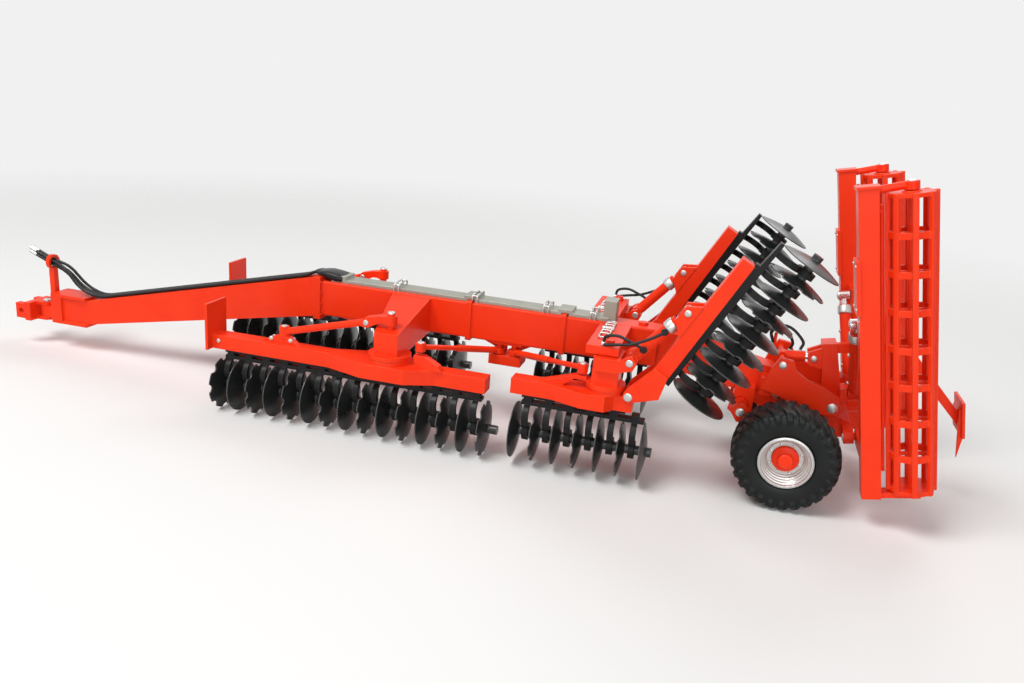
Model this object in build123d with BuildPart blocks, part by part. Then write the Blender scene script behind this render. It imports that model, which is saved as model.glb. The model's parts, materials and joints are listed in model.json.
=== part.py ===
"""Scale model of a trailed X-type disc harrow, folded for the road.

Millimetres, +Z up. +X is the rear of the machine, +Y its right-hand side.
The ground is Z = 0, and the origin is on the ground at the middle of the model.
The left and right gangs are staggered lengthways, so that their inner ends pass
each other when the gangs swing out to work.
"""
import os
from math import cos, radians, sin, tan

from build123d import *

os.makedirs("parts", exist_ok=True)

# ---------------------------------------------------------------- driving sizes
CLEAR = 0.3            # air between pieces that move past each other
FIT = 0.1              # radial clearance of a pin in its eye

# main beam
BEAM_FRONT, BEAM_REAR = -45.0, 84.0
BEAM_WIDTH, BEAM_HEIGHT = 10.0, 13.4
BEAM_BOTTOM = 32.6
COLLARS = (15.5, 50.5)             # X of the two welded collars
COLLAR_LENGTH, COLLAR_PROUD = 1.8, 0.8

# drawbar and hitch
DRAWBAR_WIDTH = 8.0
DRAWBAR_NOSE = -151.0              # X where the drawbar meets its head
NOSE_BOTTOM, NOSE_TOP = 12.2, 22.4
HEAD_FRONT = -168.0
HITCH_PIVOT = -174.5
HITCH_Z = 14.3
HITCH_FRONT = -185.0
HITCH_BORE = 1.2                   # radius of the cross hole in the fork ears
RING_X, RING_Z, RING_OUTER, RING_INNER = -170.0, 36.0, 3.1, 2.0

# gangs
GANG_Y = 30.3                      # both turntables, left and right of the middle
GANG_WIDTH, GANG_DEPTH = 6.0, 5.2
DISC_RADIUS, DISC_DISH, DISC_HUB, DISC_EDGE = 9.6, 2.0, 0.6, 0.3
DISC_PITCH, WING_PITCH = 7.19, 6.7
SPOOL_RADIUS = 1.6
FRONT_STUB, REAR_STUB = 3.0, 1.5          # axle ends beyond the outer discs
NOTCHES, NOTCH_RADIUS, NOTCH_DEPTH = 8, 1.7, 1.25
FLANGE_RADIUS, REAR_FLANGE_RADIUS, FLANGE_THICK = 7.4, 6.4, 1.5
KINGPIN_RADIUS = 1.4
POST_SIZE = 8.6
RAIL_THICK, RAIL_WIDTH = 1.2, 3.4         # upper and lower rail of the disc hangers
HANGER_WIDTH, HANGER_THICK = 2.0, 1.6     # along the axle, and round the curve
HANGER_OUT = 4.6                          # how far the curved hangers stand out sideways
BEARING_RADIUS = 3.0

FRONT_X, FRONT_STAGGER = -4.4, 29.0
FRONT_AXLE_Z = DISC_RADIUS
FRONT_BEAM_BOTTOM = 23.0
FRONT_AHEAD, FRONT_BEHIND = 68.6, 35.7    # beam ends from the turntable
FRONT_DISCS, FRONT_FIRST_DISC = 15, -65.3  # first rim from the turntable

REAR_X, REAR_STAGGER = 71.0, 6.0
REAR_AXLE_Z = 11.4
REAR_BEAM_BOTTOM = 25.1
REAR_AHEAD, REAR_BEHIND = 31.0, 9.6
REAR_DISCS, REAR_FIRST_DISC = 7, -29.2

# wings, folded up on their hinge
WING_FOLD = 60.5
HINGE_AHEAD, HINGE_Z = 8.1, 31.0          # hinge behind the turntable, and its height
WING_ROOT, WING_TIP = 3.6, 56.0
WING_TOP, WING_DEPTH_ROOT, WING_DEPTH_TIP = -1.0, 5.6, 4.2
WING_AXLE = -18.0
WING_DISCS, WING_FIRST_DISC = 9, 12.0
WING_PIN_S, WING_PIN_N = 33.0, 1.6        # rod pin in the wing's bracket

# wing cylinder
CYL_BASE_X, CYL_BASE_Z = 7.4, 42.6        # base pin behind the turntable
BARREL_RADIUS, ROD_RADIUS = 1.9, 1.0
EYE_RADIUS, PIN_RADIUS = 2.1, 0.9

# rods that tie the gangs to the middle bracket
TIE_FRONT_PIN, TIE_REAR_PIN = 27.0, 32.6  # X of the bracket pins
TIE_PIN_Y = 2.3                           # left and right of the middle
TIE_Z = 29.0                              # height of the inner eyes
TIE_RADIUS, TIE_SLEEVE_RADIUS = 0.9, 1.2
TIE_EYE_RADIUS, TIE_EYE_THICK = 2.0, 2.0
TIE_SPLIT, TIE_OVERLAP = 0.55, 6.0        # share of the length that is sleeve, rod inside it
TIE_EYE_DROP = 1.6                        # outer eye reaches this far below the rod
FRONT_TIE_GAP, REAR_TIE_GAP = 1.3, 0.9    # air under the eyes, which dip as the gangs turn
FRONT_ARM, FRONT_ARM_Z = 12.0, 33.0       # eye of the front bracket, from the turntable
FRONT_ARM_OUT = 2.4                       # and to the outer side of it
REAR_ARM, REAR_ARM_Z = 8.0, 34.4

# carriage, wheels
AXLE_X, TYRE_RADIUS, TYRE_WIDTH = 130.0, 17.0, 14.8
TYRE_INNER_Y = 18.3
RIM_RADIUS = 8.6
LIFT_X, LIFT_Z = 114.5, 25.5
PLATE_Y, PLATE_THICK = 10.4, 1.8
TILT_PIN_X, TILT_PIN_Z = 125.6, 42.4      # base pin of the tilt cylinder

# roller mount and rollers, leaning forward
MOUNT_X, MOUNT_Z, LEAN = 143.1, 30.4, 11.2
ROLLER_Y = 30.0
ROLLER_HINGE_Y, ROLLER_HINGE_UP = 15.2, -8.6
FRAME_WIDE, FRAME_DEEP = 6.2, 5.6
FRAME_BOTTOM, FRAME_TOP = -22.3, 73.0     # along the lean, from the mount pin
CAGE_RADIUS, CAGE_CENTRE = 7.1, 20.9      # cage axis behind the mount pin
CAGE_BARS, CAGE_RINGS = 10, 9
GUARD_RADIUS = 0.5                        # thin rod between the roller's tube and cage
BOARD_BACK, BOARD_THICK = 39.5, 0.9       # sign board, behind the mount pin

# hoses along the drawbar: place in the ring (y, height), then y on the drawbar
HOSE_RADIUS, COUPLING_RADIUS, COUPLING_LENGTH = 0.6, 0.7, 3.4
HOSES = ((-0.7, -0.75, -0.8), (0.7, -0.75, 0.8), (-0.7, 0.75, -2.4), (0.7, 0.75, 2.4))
HOOD_LENGTH, HOOD_HEIGHT, HOOD_WALL = 5.0, 2.6, 0.6

# name, side of the middle, how far the front and the rear gang stand ahead of the left ones
SIDES = (("left", -1, 0.0, 0.0), ("right", 1, FRONT_STAGGER, REAR_STAGGER))


def side_plane(y):
    """XZ drawing plane at a given Y: sketch x is X, sketch y is Z."""
    return Plane.XZ.offset(-y)


def block(x0, x1, y0, y1, z0, z1, mode=Mode.ADD):
    """Plain plate or bar between two corners, in the part being built."""
    with Locations(((x0 + x1) / 2, (y0 + y1) / 2, (z0 + z1) / 2)):
        Box(abs(x1 - x0), abs(y1 - y0), abs(z1 - z0), mode=mode)


def post(x, y, z0, z1, radius, mode=Mode.ADD):
    """Upright round bar or hole."""
    with Locations((x, y, (z0 + z1) / 2)):
        Cylinder(radius, z1 - z0, mode=mode)


def cross_bar(x, y0, y1, z, radius, mode=Mode.ADD):
    """Round bar or hole along Y."""
    with Locations((x, (y0 + y1) / 2, z)):
        Cylinder(radius, abs(y1 - y0), rotation=(90, 0, 0), mode=mode)


def rod_between(a, b, radius):
    """Round rod from one point to another."""
    a, b = Vector(a), Vector(b)
    with BuildSketch(Plane(origin=a, z_dir=b - a)) as round_end:
        Circle(radius)
    extrude(round_end.sketch, amount=(b - a).length)


def side_plate(points, y0, y1):
    """Flat plate cut to a side outline, from one Y to another."""
    with BuildSketch(side_plane(y0)) as outline:
        Polygon(*points, align=None)
    extrude(outline.sketch, amount=y0 - y1)


def disc_row(plane, count, first, pitch, stub):
    """Axle with its spools and dished discs, as one turned piece.

    Sketch x runs along the axle. Each disc is an arc from its hub to its rim on
    both faces, so that it is dished like a shallow bowl.
    """
    half_way = (SPOOL_RADIUS + DISC_RADIUS) / 2
    bulge = DISC_DISH * (1 - (half_way / DISC_RADIUS) ** 2)
    with BuildSketch(plane) as half:
        with BuildLine():
            last = first - stub
            Line((last, 0), (last, SPOOL_RADIUS))
            for index in range(count):
                rim = first + index * pitch
                hub = rim + DISC_DISH
                Line((last, SPOOL_RADIUS), (hub - DISC_HUB, SPOOL_RADIUS))
                ThreePointArc((hub - DISC_HUB, SPOOL_RADIUS), (rim + bulge - DISC_HUB, half_way),
                              (rim, DISC_RADIUS))
                Line((rim, DISC_RADIUS), (rim + DISC_EDGE, DISC_RADIUS))
                ThreePointArc((rim + DISC_EDGE, DISC_RADIUS), (rim + bulge, half_way), (hub, SPOOL_RADIUS))
                last = hub
            Polyline((last, SPOOL_RADIUS), (last + stub, SPOOL_RADIUS), (last + stub, 0), (first - stub, 0))
        make_face()
    revolve(half.sketch, axis=Axis(plane.origin, plane.x_dir))


def notch_row(plane, count, first, pitch, start):
    """Scallops the rim of every second disc, counted from start."""
    for index in range(start, count, 2):
        centre = plane.origin + plane.x_dir * (first + index * pitch + 0.4)
        with BuildSketch(Plane(origin=centre, x_dir=plane.z_dir, z_dir=plane.x_dir)) as notches:
            with PolarLocations(DISC_RADIUS + NOTCH_RADIUS - NOTCH_DEPTH, NOTCHES):
                Circle(NOTCH_RADIUS)
        extrude(notches.sketch, amount=1.2, both=True, mode=Mode.SUBTRACT)


def hanger_row(plane, top, count, first, pitch, out):
    """Lower rail, and a curved hanger with its bearing in every gap between the discs.

    Sketch x runs along the axle and y out of its top. The rail's top face is at y = top,
    and out is the side of the axle, +1 or -1 along -z of the plane, to which the hangers bulge.
    """
    rail = DISC_RADIUS + CLEAR
    sideways = plane.z_dir * -1
    for index in range(count - 1):
        x = first + index * pitch + DISC_DISH + (pitch - DISC_DISH) / 2 - 0.4
        with BuildSketch(Plane(origin=plane.origin + plane.x_dir * (x - HANGER_WIDTH / 2),
                               x_dir=sideways * out, z_dir=plane.x_dir * out)) as hanger:
            with BuildLine():
                ThreePointArc((1.2, rail + 0.2), (HANGER_OUT, rail / 2 + 1.35), (1.0, 1.5))
                Line((1.0, 1.5), (1.0, 3.0))
                ThreePointArc((1.0, 3.0), (HANGER_OUT - HANGER_THICK, rail / 2 + 1.35), (0.0, rail + 0.2))
                Line((0.0, rail + 0.2), (1.2, rail + 0.2))
            make_face()
            Circle(BEARING_RADIUS)
            Circle(SPOOL_RADIUS + CLEAR, mode=Mode.SUBTRACT)
        extrude(hanger.sketch, amount=HANGER_WIDTH * out)
        # boss between the rails
        with BuildSketch(plane) as boss:
            with Locations((x, (rail + top) / 2)):
                Rectangle(HANGER_WIDTH + 0.6, top - rail)
        extrude(boss.sketch, amount=RAIL_WIDTH / 2, both=True)


def tangent_route(points):
    """Centreline of a hose: straight runs joined by tangent arcs, as large as the runs allow."""
    points = [Vector(*point) for point in points]
    with BuildLine() as route:
        start = points[0]
        for before, corner, after in zip(points, points[1:], points[2:]):
            arriving, leaving = corner - before, after - corner
            cut = 0.45 * min(arriving.length, leaving.length)
            half_turn = radians(arriving.get_angle(leaving)) / 2
            inward = (leaving.normalized() - arriving.normalized()).normalized()
            radius = cut / tan(half_turn)
            centre = corner + inward * (radius / cos(half_turn))
            arc_start, arc_end = corner - arriving.normalized() * cut, corner + leaving.normalized() * cut
            Line(start, arc_start)
            ThreePointArc(arc_start, centre - inward * radius, arc_end)
            start = arc_end
        Line(start, points[-1])
    return route


def finish(part, name):
    """Labels a finished piece and writes it out."""
    part.part.label = name
    export_step(part.part, f"parts/{name}.step")


# ---------------------------------------------------------------- main frame
BEAM_TOP = BEAM_BOTTOM + BEAM_HEIGHT
BEAM_MID = BEAM_BOTTOM + BEAM_HEIGHT / 2
HALF_BEAM = BEAM_WIDTH / 2
HALF_POST = POST_SIZE / 2

with BuildPart() as main_beam:
    with BuildSketch(Plane.YZ.offset(BEAM_FRONT)):
        with Locations((0, BEAM_MID)):
            RectangleRounded(BEAM_WIDTH, BEAM_HEIGHT, 0.8)
    extrude(amount=BEAM_REAR - BEAM_FRONT)
    for collar in COLLARS:
        with BuildSketch(Plane.YZ.offset(collar - COLLAR_LENGTH / 2)):
            with Locations((0, BEAM_MID)):
                RectangleRounded(BEAM_WIDTH + 2 * COLLAR_PROUD, BEAM_HEIGHT + 2 * COLLAR_PROUD, 1.0)
        extrude(amount=COLLAR_LENGTH)
    block(BEAM_FRONT, BEAM_FRONT + 1.4, -6.0, 6.0, BEAM_BOTTOM - 1.5, BEAM_TOP + 1.5)
    # bracket under the beam that holds the inner ends of the four tie rods
    bracket_front, bracket_rear = TIE_FRONT_PIN - 3.2, TIE_REAR_PIN + 3.2
    eye_bottom = TIE_Z - TIE_EYE_THICK / 2 - CLEAR
    block(bracket_front, bracket_rear, -4.4, 4.4, BEAM_BOTTOM - 0.7, BEAM_BOTTOM)
    block(bracket_front, bracket_rear, -4.4, 4.4, eye_bottom - 3.6, eye_bottom)
    for pin in (TIE_FRONT_PIN, TIE_REAR_PIN):
        for y in (-TIE_PIN_Y, TIE_PIN_Y):
            post(pin, y, eye_bottom, BEAM_BOTTOM - 0.7, PIN_RADIUS)
    # pin head on the beam's rear end
    post(BEAM_REAR - 6.0, 0, BEAM_TOP - 0.5, BEAM_TOP + 0.9, 1.7)
finish(main_beam, "main_beam")

with BuildPart() as drawbar:
    with BuildSketch(Plane.XZ):
        Polygon((BEAM_FRONT - 1.4, BEAM_BOTTOM - 1.0), (BEAM_FRONT - 1.4, BEAM_TOP + 1.0),
                (DRAWBAR_NOSE, NOSE_TOP), (DRAWBAR_NOSE - 12, NOSE_TOP),
                (DRAWBAR_NOSE - 12, NOSE_BOTTOM), (DRAWBAR_NOSE, NOSE_BOTTOM), align=None)
    extrude(amount=DRAWBAR_WIDTH / 2, both=True)
    block(BEAM_FRONT - 1.4, BEAM_FRONT, -6.0, 6.0, BEAM_BOTTOM - 1.5, BEAM_TOP + 1.5)
    # head: a channel that wraps the nose above and below
    block(HEAD_FRONT, DRAWBAR_NOSE, -5.0, 5.0, NOSE_TOP, NOSE_TOP + 1.2)
    block(HEAD_FRONT, DRAWBAR_NOSE, -5.0, 5.0, NOSE_BOTTOM - 1.2, NOSE_BOTTOM)
    block(HEAD_FRONT, DRAWBAR_NOSE - 12, -5.0, 5.0, NOSE_BOTTOM - 1.2, NOSE_TOP + 1.2)
    block(HITCH_PIVOT, HEAD_FRONT, -2.4, 2.4, HITCH_Z - 2.4, HITCH_Z + 2.4)
    post(HITCH_PIVOT, 0, HITCH_Z - 2.4, HITCH_Z + 2.4, 2.4)
    post(HITCH_PIVOT, 0, HITCH_Z - 2.4, HITCH_Z + 2.4, 1.0 + FIT, mode=Mode.SUBTRACT)
    # hose post with its ring
    block(RING_X - 1.2, RING_X + 1.2, -1.2, 1.2, HITCH_Z + 2.4, RING_Z - RING_INNER - 0.4)
    block(RING_X + 1.2, HEAD_FRONT, -1.2, 1.2, HITCH_Z + 2.4, HITCH_Z + 8.0)
    with BuildSketch(Plane.YZ.offset(RING_X - 0.8)):
        with Locations((0, RING_Z)):
            Circle(RING_OUTER)
            Circle(RING_INNER, mode=Mode.SUBTRACT)
    extrude(amount=1.6)
finish(drawbar, "drawbar")

with BuildPart() as hitch_fork:
    for z0, z1 in ((HITCH_Z - 3.9, HITCH_Z - 2.4 - FIT), (HITCH_Z + 2.4 + FIT, HITCH_Z + 3.9)):
        block(HITCH_PIVOT - 4.6, HITCH_PIVOT, -2.4, 2.4, z0, z1)
        post(HITCH_PIVOT, 0, z0, z1, 2.4)
    post(HITCH_PIVOT, 0, HITCH_Z - 3.9, HITCH_Z + 4.5, 1.0)
    block(HITCH_PIVOT - 6.2, HITCH_PIVOT - 3.4, -6.2, 6.2, HITCH_Z - 3.9, HITCH_Z + 3.9)
    for y in (-6.2, 3.6):
        block(HITCH_FRONT, HITCH_PIVOT - 6.2, y, y + 2.6, HITCH_Z - 3.2, HITCH_Z + 3.2)
    cross_bar(HITCH_FRONT + 2.6, -6.2, 6.2, HITCH_Z, HITCH_BORE, mode=Mode.SUBTRACT)
finish(hitch_fork, "hitch_fork")

with BuildPart() as cable_tray:
    tray_front = BEAM_FRONT + 5
    block(tray_front + HOOD_LENGTH, 66.0, -3.7, 3.7, BEAM_TOP, BEAM_TOP + 1.2)
    for collar in COLLARS:
        block(collar - 2.6, collar + 2.6, -3.7, 3.7, BEAM_TOP, BEAM_TOP + 2.2)
        block(collar - 1.3, collar + 1.3, -3.7, 3.7, BEAM_TOP, BEAM_TOP + COLLAR_PROUD + FIT,
              mode=Mode.SUBTRACT)
    block(64.0, 68.4, -3.2, 3.2, BEAM_TOP, BEAM_TOP + 7.4)
    # hood at the front, which the drawbar's hoses run in under
    block(tray_front, tray_front + HOOD_LENGTH + 1, -3.7, 3.7, BEAM_TOP, BEAM_TOP + HOOD_HEIGHT)
    block(tray_front - 1, tray_front + HOOD_LENGTH, -3.7 + HOOD_WALL, 3.7 - HOOD_WALL,
          BEAM_TOP, BEAM_TOP + HOOD_HEIGHT - HOOD_WALL, mode=Mode.SUBTRACT)
finish(cable_tray, "cable_tray")


def drawbar_top(x):
    """Height of a hose's centre where it lies on the drawbar."""
    slope = (BEAM_TOP + 1.0 - NOSE_TOP) / (BEAM_FRONT - 1.4 - DRAWBAR_NOSE)
    return NOSE_TOP + slope * (x - DRAWBAR_NOSE) + HOSE_RADIUS + CLEAR / 2


# the hoses: from their couplings through the ring, along the drawbar, over its joint and in under the hood
on_beam = BEAM_TOP + HOSE_RADIUS + CLEAR / 2
hose_routes = []
for ring_y, rise, y in HOSES:
    hose_routes.append((
        (RING_X - 7.0, ring_y, RING_Z + rise + 2.9),
        (RING_X, ring_y, RING_Z + rise),
        (RING_X + 7.0, (ring_y + y) / 2, RING_Z - 2.0 + 1.2 * rise),
        (RING_X + 14.5, y, RING_Z - 9.4 + 0.5 * rise),
        (DRAWBAR_NOSE + 4.0, y, drawbar_top(DRAWBAR_NOSE + 4.0)),
        (BEAM_FRONT - 6.0, y, drawbar_top(BEAM_FRONT - 6.0)),
        (BEAM_FRONT - 2.5, y, on_beam + 1.85),
        (BEAM_FRONT + 2.0, y, on_beam + 1.85),
        (tray_front + 0.9, y, on_beam),
        (tray_front + HOOD_LENGTH - 0.4, y, on_beam)))
with BuildPart() as drawbar_hoses:
    for points in hose_routes:
        route = tangent_route(points)
        with BuildSketch(Plane(origin=points[0], z_dir=Vector(*points[1]) - Vector(*points[0]))) as round_end:
            Circle(HOSE_RADIUS)
        sweep(round_end.sketch, path=route.wires()[0])
finish(drawbar_hoses, "drawbar_hoses")

with BuildPart() as hose_couplings:
    for points in hose_routes:
        end = Vector(*points[0])
        ahead = (end - Vector(*points[1])).normalized()
        rod_between(end, end + ahead * COUPLING_LENGTH, COUPLING_RADIUS)
finish(hose_couplings, "hose_couplings")

# ---------------------------------------------------------------- carriage
with BuildPart() as carriage:
    side_plate(((BEAM_REAR, BEAM_BOTTOM + 1.0), (BEAM_REAR, BEAM_TOP), (92, BEAM_TOP - 1.0),
                (124, 38.5), (124, 29.5), (110, 29.5)), 4.2, -4.2)
    for s in (-1, 1):
        y0, y1 = s * PLATE_Y, s * (PLATE_Y + PLATE_THICK)
        side_plate(((119.8, 33.4), (122.2, 40.4), (124.6, 44.8), (128.8, 44.2), (130.4, 40.8),
                    (134.4, 38.2), (139.5, 37.0), (144.8, 34.2), (145.4, 28.6), (141.0, 27.4), (131.0, 30.0)),
                   max(y0, y1), min(y0, y1))
        # bearing lugs of the lift tube
        side_plate(((112.0, 30.5), (118.5, 30.5), (118.5, 23.0), (116.5, 21.5), (112.5, 21.5), (110.5, 23.0)),
                   s * 7.0 + 1.2, s * 7.0 - 1.2)
    block(119.8, 124.0, -PLATE_Y, PLATE_Y, 30.5, 36.5)
    block(112.0, 118.5, -8.2, 8.2, 29.6, 32.0)
    cross_bar(LIFT_X, -9, 9, LIFT_Z, 2.5 + FIT, mode=Mode.SUBTRACT)
    # roller mount pin and tilt cylinder pin
    cross_bar(MOUNT_X, -PLATE_Y - PLATE_THICK, PLATE_Y + PLATE_THICK, MOUNT_Z, 1.3)
    cross_bar(TILT_PIN_X, -PLATE_Y - PLATE_THICK, PLATE_Y + PLATE_THICK, TILT_PIN_Z, 1.0)
finish(carriage, "carriage")

with BuildPart() as axle_arms:
    cross_bar(LIFT_X, -16.8, 16.8, LIFT_Z, 2.5)
    for s in (-1, 1):
        with BuildSketch(side_plane(s * 13.2 if s < 0 else 16.8)):
            with Locations((LIFT_X, LIFT_Z)):
                Rectangle(5.2, 5.2, rotation=35)
            Polygon((LIFT_X, LIFT_Z + 2.4), (AXLE_X + 1.0, TYRE_RADIUS + 2.2),
                    (AXLE_X + 2.2, TYRE_RADIUS - 0.8), (AXLE_X - 0.8, TYRE_RADIUS - 2.2),
                    (LIFT_X - 1.5, LIFT_Z - 2.6), align=None)
        extrude(amount=3.6)
        cross_bar(AXLE_X, s * 14.0, s * 29.0, TYRE_RADIUS, 1.6)
finish(axle_arms, "axle_arms")

for side, s, front_shift, rear_shift in SIDES:
    inner, outer = s * TYRE_INNER_Y, s * (TYRE_INNER_Y + TYRE_WIDTH)
    with BuildPart() as tyre:
        with BuildSketch(Plane(origin=(AXLE_X, 0, TYRE_RADIUS), x_dir=(0, 1, 0), z_dir=(1, 0, 0))):
            Polygon((inner, RIM_RADIUS + 1.2), (inner, 13.0), (inner + s * 1.6, TYRE_RADIUS - 1.0),
                    (inner + s * 4.2, TYRE_RADIUS), (outer - s * 4.2, TYRE_RADIUS),
                    (outer - s * 1.6, TYRE_RADIUS - 1.0), (outer, 13.0), (outer, RIM_RADIUS + 0.2),
                    (outer - s * 1.6, RIM_RADIUS - 0.2), (inner + s * 1.6, RIM_RADIUS - 0.2), align=None)
        revolve(axis=Axis((AXLE_X, 0, TYRE_RADIUS), (0, 1, 0)))
    finish(tyre, f"tyre_{side}")

    with BuildPart() as wheel:
        with BuildSketch(Plane(origin=(AXLE_X, 0, TYRE_RADIUS), x_dir=(0, 1, 0), z_dir=(1, 0, 0))):
            Polygon((inner + s * 1.8, RIM_RADIUS - 0.2), (outer - s * 1.6, RIM_RADIUS - 0.2),
                    (outer - s * 0.4, RIM_RADIUS - 0.05), (outer - s * 0.2, RIM_RADIUS - 0.6),
                    (outer - s * 2.0, RIM_RADIUS - 1.4), (outer - s * 4.6, RIM_RADIUS - 2.6),
                    (outer - s * 4.6, 1.6 + FIT), (outer - s * 6.2, 1.6 + FIT),
                    (outer - s * 6.2, RIM_RADIUS - 2.4), (inner + s * 1.8, RIM_RADIUS - 1.4), align=None)
        revolve(axis=Axis((AXLE_X, 0, TYRE_RADIUS), (0, 1, 0)))
        with BuildSketch(Plane(origin=(AXLE_X, 0, TYRE_RADIUS), x_dir=(0, 1, 0), z_dir=(1, 0, 0))):
            Polygon((outer - s * 4.6, 1.6 + FIT), (outer - s * 4.6, 4.0), (outer - s * 3.7, 4.0),
                    (outer - s * 3.2, 2.2), (outer - s * 1.6, 1.8), (outer - s * 1.6, 0),
                    (outer - s * 3.0, 0), (outer - s * 3.0, 1.6 + FIT), align=None)
        revolve(axis=Axis((AXLE_X, 0, TYRE_RADIUS), (0, 1, 0)))
    finish(wheel, f"wheel_{side}")

    # ------------------------------------------------------------ front gang
    gy = s * GANG_Y
    fx = FRONT_X - front_shift
    gang_top = FRONT_BEAM_BOTTOM + GANG_DEPTH
    flange_base = gang_top + FLANGE_THICK + FIT
    post_top = 39.0
    with BuildPart() as front_outrigger:
        with BuildSketch(side_plane(s * HALF_BEAM)):
            Polygon((fx - 10.0, BEAM_BOTTOM), (fx - 10.0, BEAM_TOP - 0.4), (fx + 5.0, BEAM_TOP - 0.4),
                    (fx + 5.0, BEAM_BOTTOM), align=None)
        with BuildSketch(side_plane(s * (GANG_Y + HALF_POST))):
            Polygon((fx - HALF_POST, flange_base), (fx - HALF_POST, post_top), (fx + HALF_POST, post_top),
                    (fx + HALF_POST, flange_base), align=None)
        loft()
        block(fx - HALF_POST, fx + HALF_POST, gy - HALF_POST, gy + HALF_POST, flange_base, post_top - 3.0)
        post(fx, gy, flange_base, flange_base + FLANGE_THICK, FLANGE_RADIUS)
        post(fx, gy, flange_base - 1, 48.0, KINGPIN_RADIUS + FIT, mode=Mode.SUBTRACT)
    finish(front_outrigger, f"front_outrigger_{side}")

    with BuildPart() as front_beam:
        block(fx - FRONT_AHEAD, fx + FRONT_BEHIND, gy - GANG_WIDTH / 2, gy + GANG_WIDTH / 2,
              FRONT_BEAM_BOTTOM, gang_top)
        # the beam widens under the turntable
        with BuildSketch(Plane.XY.offset(FRONT_BEAM_BOTTOM)):
            with Locations((fx, gy)):
                Polygon((-22, -3), (-8, -7.6), (8, -7.6), (18, -3), (18, 3), (8, 7.6), (-8, 7.6), (-22, 3),
                        align=None)
        extrude(amount=GANG_DEPTH)
        post(fx, gy, gang_top, gang_top + FLANGE_THICK, FLANGE_RADIUS)
        # upright end plate, bracket of the brace, bracket of the tie rod
        block(fx - FRONT_AHEAD, fx - FRONT_AHEAD + 1.0, gy - 6.0, gy + 6.0, FRONT_BEAM_BOTTOM, 40.0)
        side_plate(((fx - 49, gang_top), (fx - 44, 30.6), (fx - 41.5, 31.0), (fx - 38.0, 31.0),
                    (fx - 34.5, gang_top)), gy + 1.2, gy - 1.2)
        side_plate(((fx + 11.5, gang_top), (fx + 20.5, gang_top), (fx + 19.0, gang_top + 2.0),
                    (fx + FRONT_ARM + 1.8, FRONT_ARM_Z), (fx + FRONT_ARM - 1.8, FRONT_ARM_Z),
                    (fx + FRONT_ARM - 1.8, FRONT_ARM_Z - 2.0)),
                   gy + s * (FRONT_ARM_OUT + 1.5), gy + s * (FRONT_ARM_OUT - 1.5))
        # kingpin, and the brace from its top down to the beam
        post(fx, gy, gang_top + FLANGE_THICK, 45.2, KINGPIN_RADIUS)
        post(fx, gy, 41.2, 44.4, 2.2)
        side_plate(((fx, 41.4), (fx, 44.2), (fx - 4.0, 44.0), (fx - 9.0, 42.8), (fx - 10.6, 41.4),
                    (fx - 10.2, 39.4), (fx - 8.0, 39.2), (fx - 4.0, 41.4)), gy + 1.6, gy - 1.6)
        rod_between((fx - 8.6, gy, 41.0), (fx - 39.8, gy, 32.7), 1.25)
        post(fx - 40.4, gy, 30.6, 34.6, 1.8)
    finish(front_beam, f"front_gang_beam_{side}")

    first = fx + FRONT_FIRST_DISC
    rotor_plane = Plane(origin=(0, gy, FRONT_AXLE_Z), x_dir=(1, 0, 0), z_dir=(0, -1, 0))
    with BuildPart() as front_hangers:
        row_end = first + (FRONT_DISCS - 1) * DISC_PITCH + DISC_DISH
        rail_z = FRONT_AXLE_Z + DISC_RADIUS + CLEAR
        block(first + 2, row_end - 3, gy - RAIL_WIDTH / 2, gy + RAIL_WIDTH / 2,
              FRONT_BEAM_BOTTOM - RAIL_THICK, FRONT_BEAM_BOTTOM)
        block(first + 2, row_end - 3, gy - RAIL_WIDTH / 2, gy + RAIL_WIDTH / 2, rail_z, rail_z + RAIL_THICK)
        hanger_row(rotor_plane, FRONT_BEAM_BOTTOM - FRONT_AXLE_Z - RAIL_THICK, FRONT_DISCS, first,
                   DISC_PITCH, s)
    finish(front_hangers, f"front_hangers_{side}")

    with BuildPart() as front_discs:
        disc_row(rotor_plane, FRONT_DISCS, first, DISC_PITCH, FRONT_STUB)
        notch_row(rotor_plane, FRONT_DISCS, first, DISC_PITCH, 0)
    finish(front_discs, f"front_discs_{side}")

    # ------------------------------------------------------------ rear gang
    rx = REAR_X - rear_shift
    rear_top = REAR_BEAM_BOTTOM + GANG_DEPTH
    post_base = rear_top + 2 * FLANGE_THICK + FIT
    slab = 43.2
    with BuildPart() as rear_outrigger:
        with BuildSketch(Plane.YZ.offset(rx - 7.2)):
            Polygon((s * HALF_BEAM, BEAM_BOTTOM + 0.4), (s * HALF_BEAM, BEAM_TOP), (s * 33.8, BEAM_TOP),
                    (s * 33.8, slab), (s * 22.5, slab), align=None)
        extrude(amount=10.6)
        post(rx, gy, slab - 1, 47.2, KINGPIN_RADIUS + FIT, mode=Mode.SUBTRACT)
    finish(rear_outrigger, f"rear_outrigger_{side}")

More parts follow.
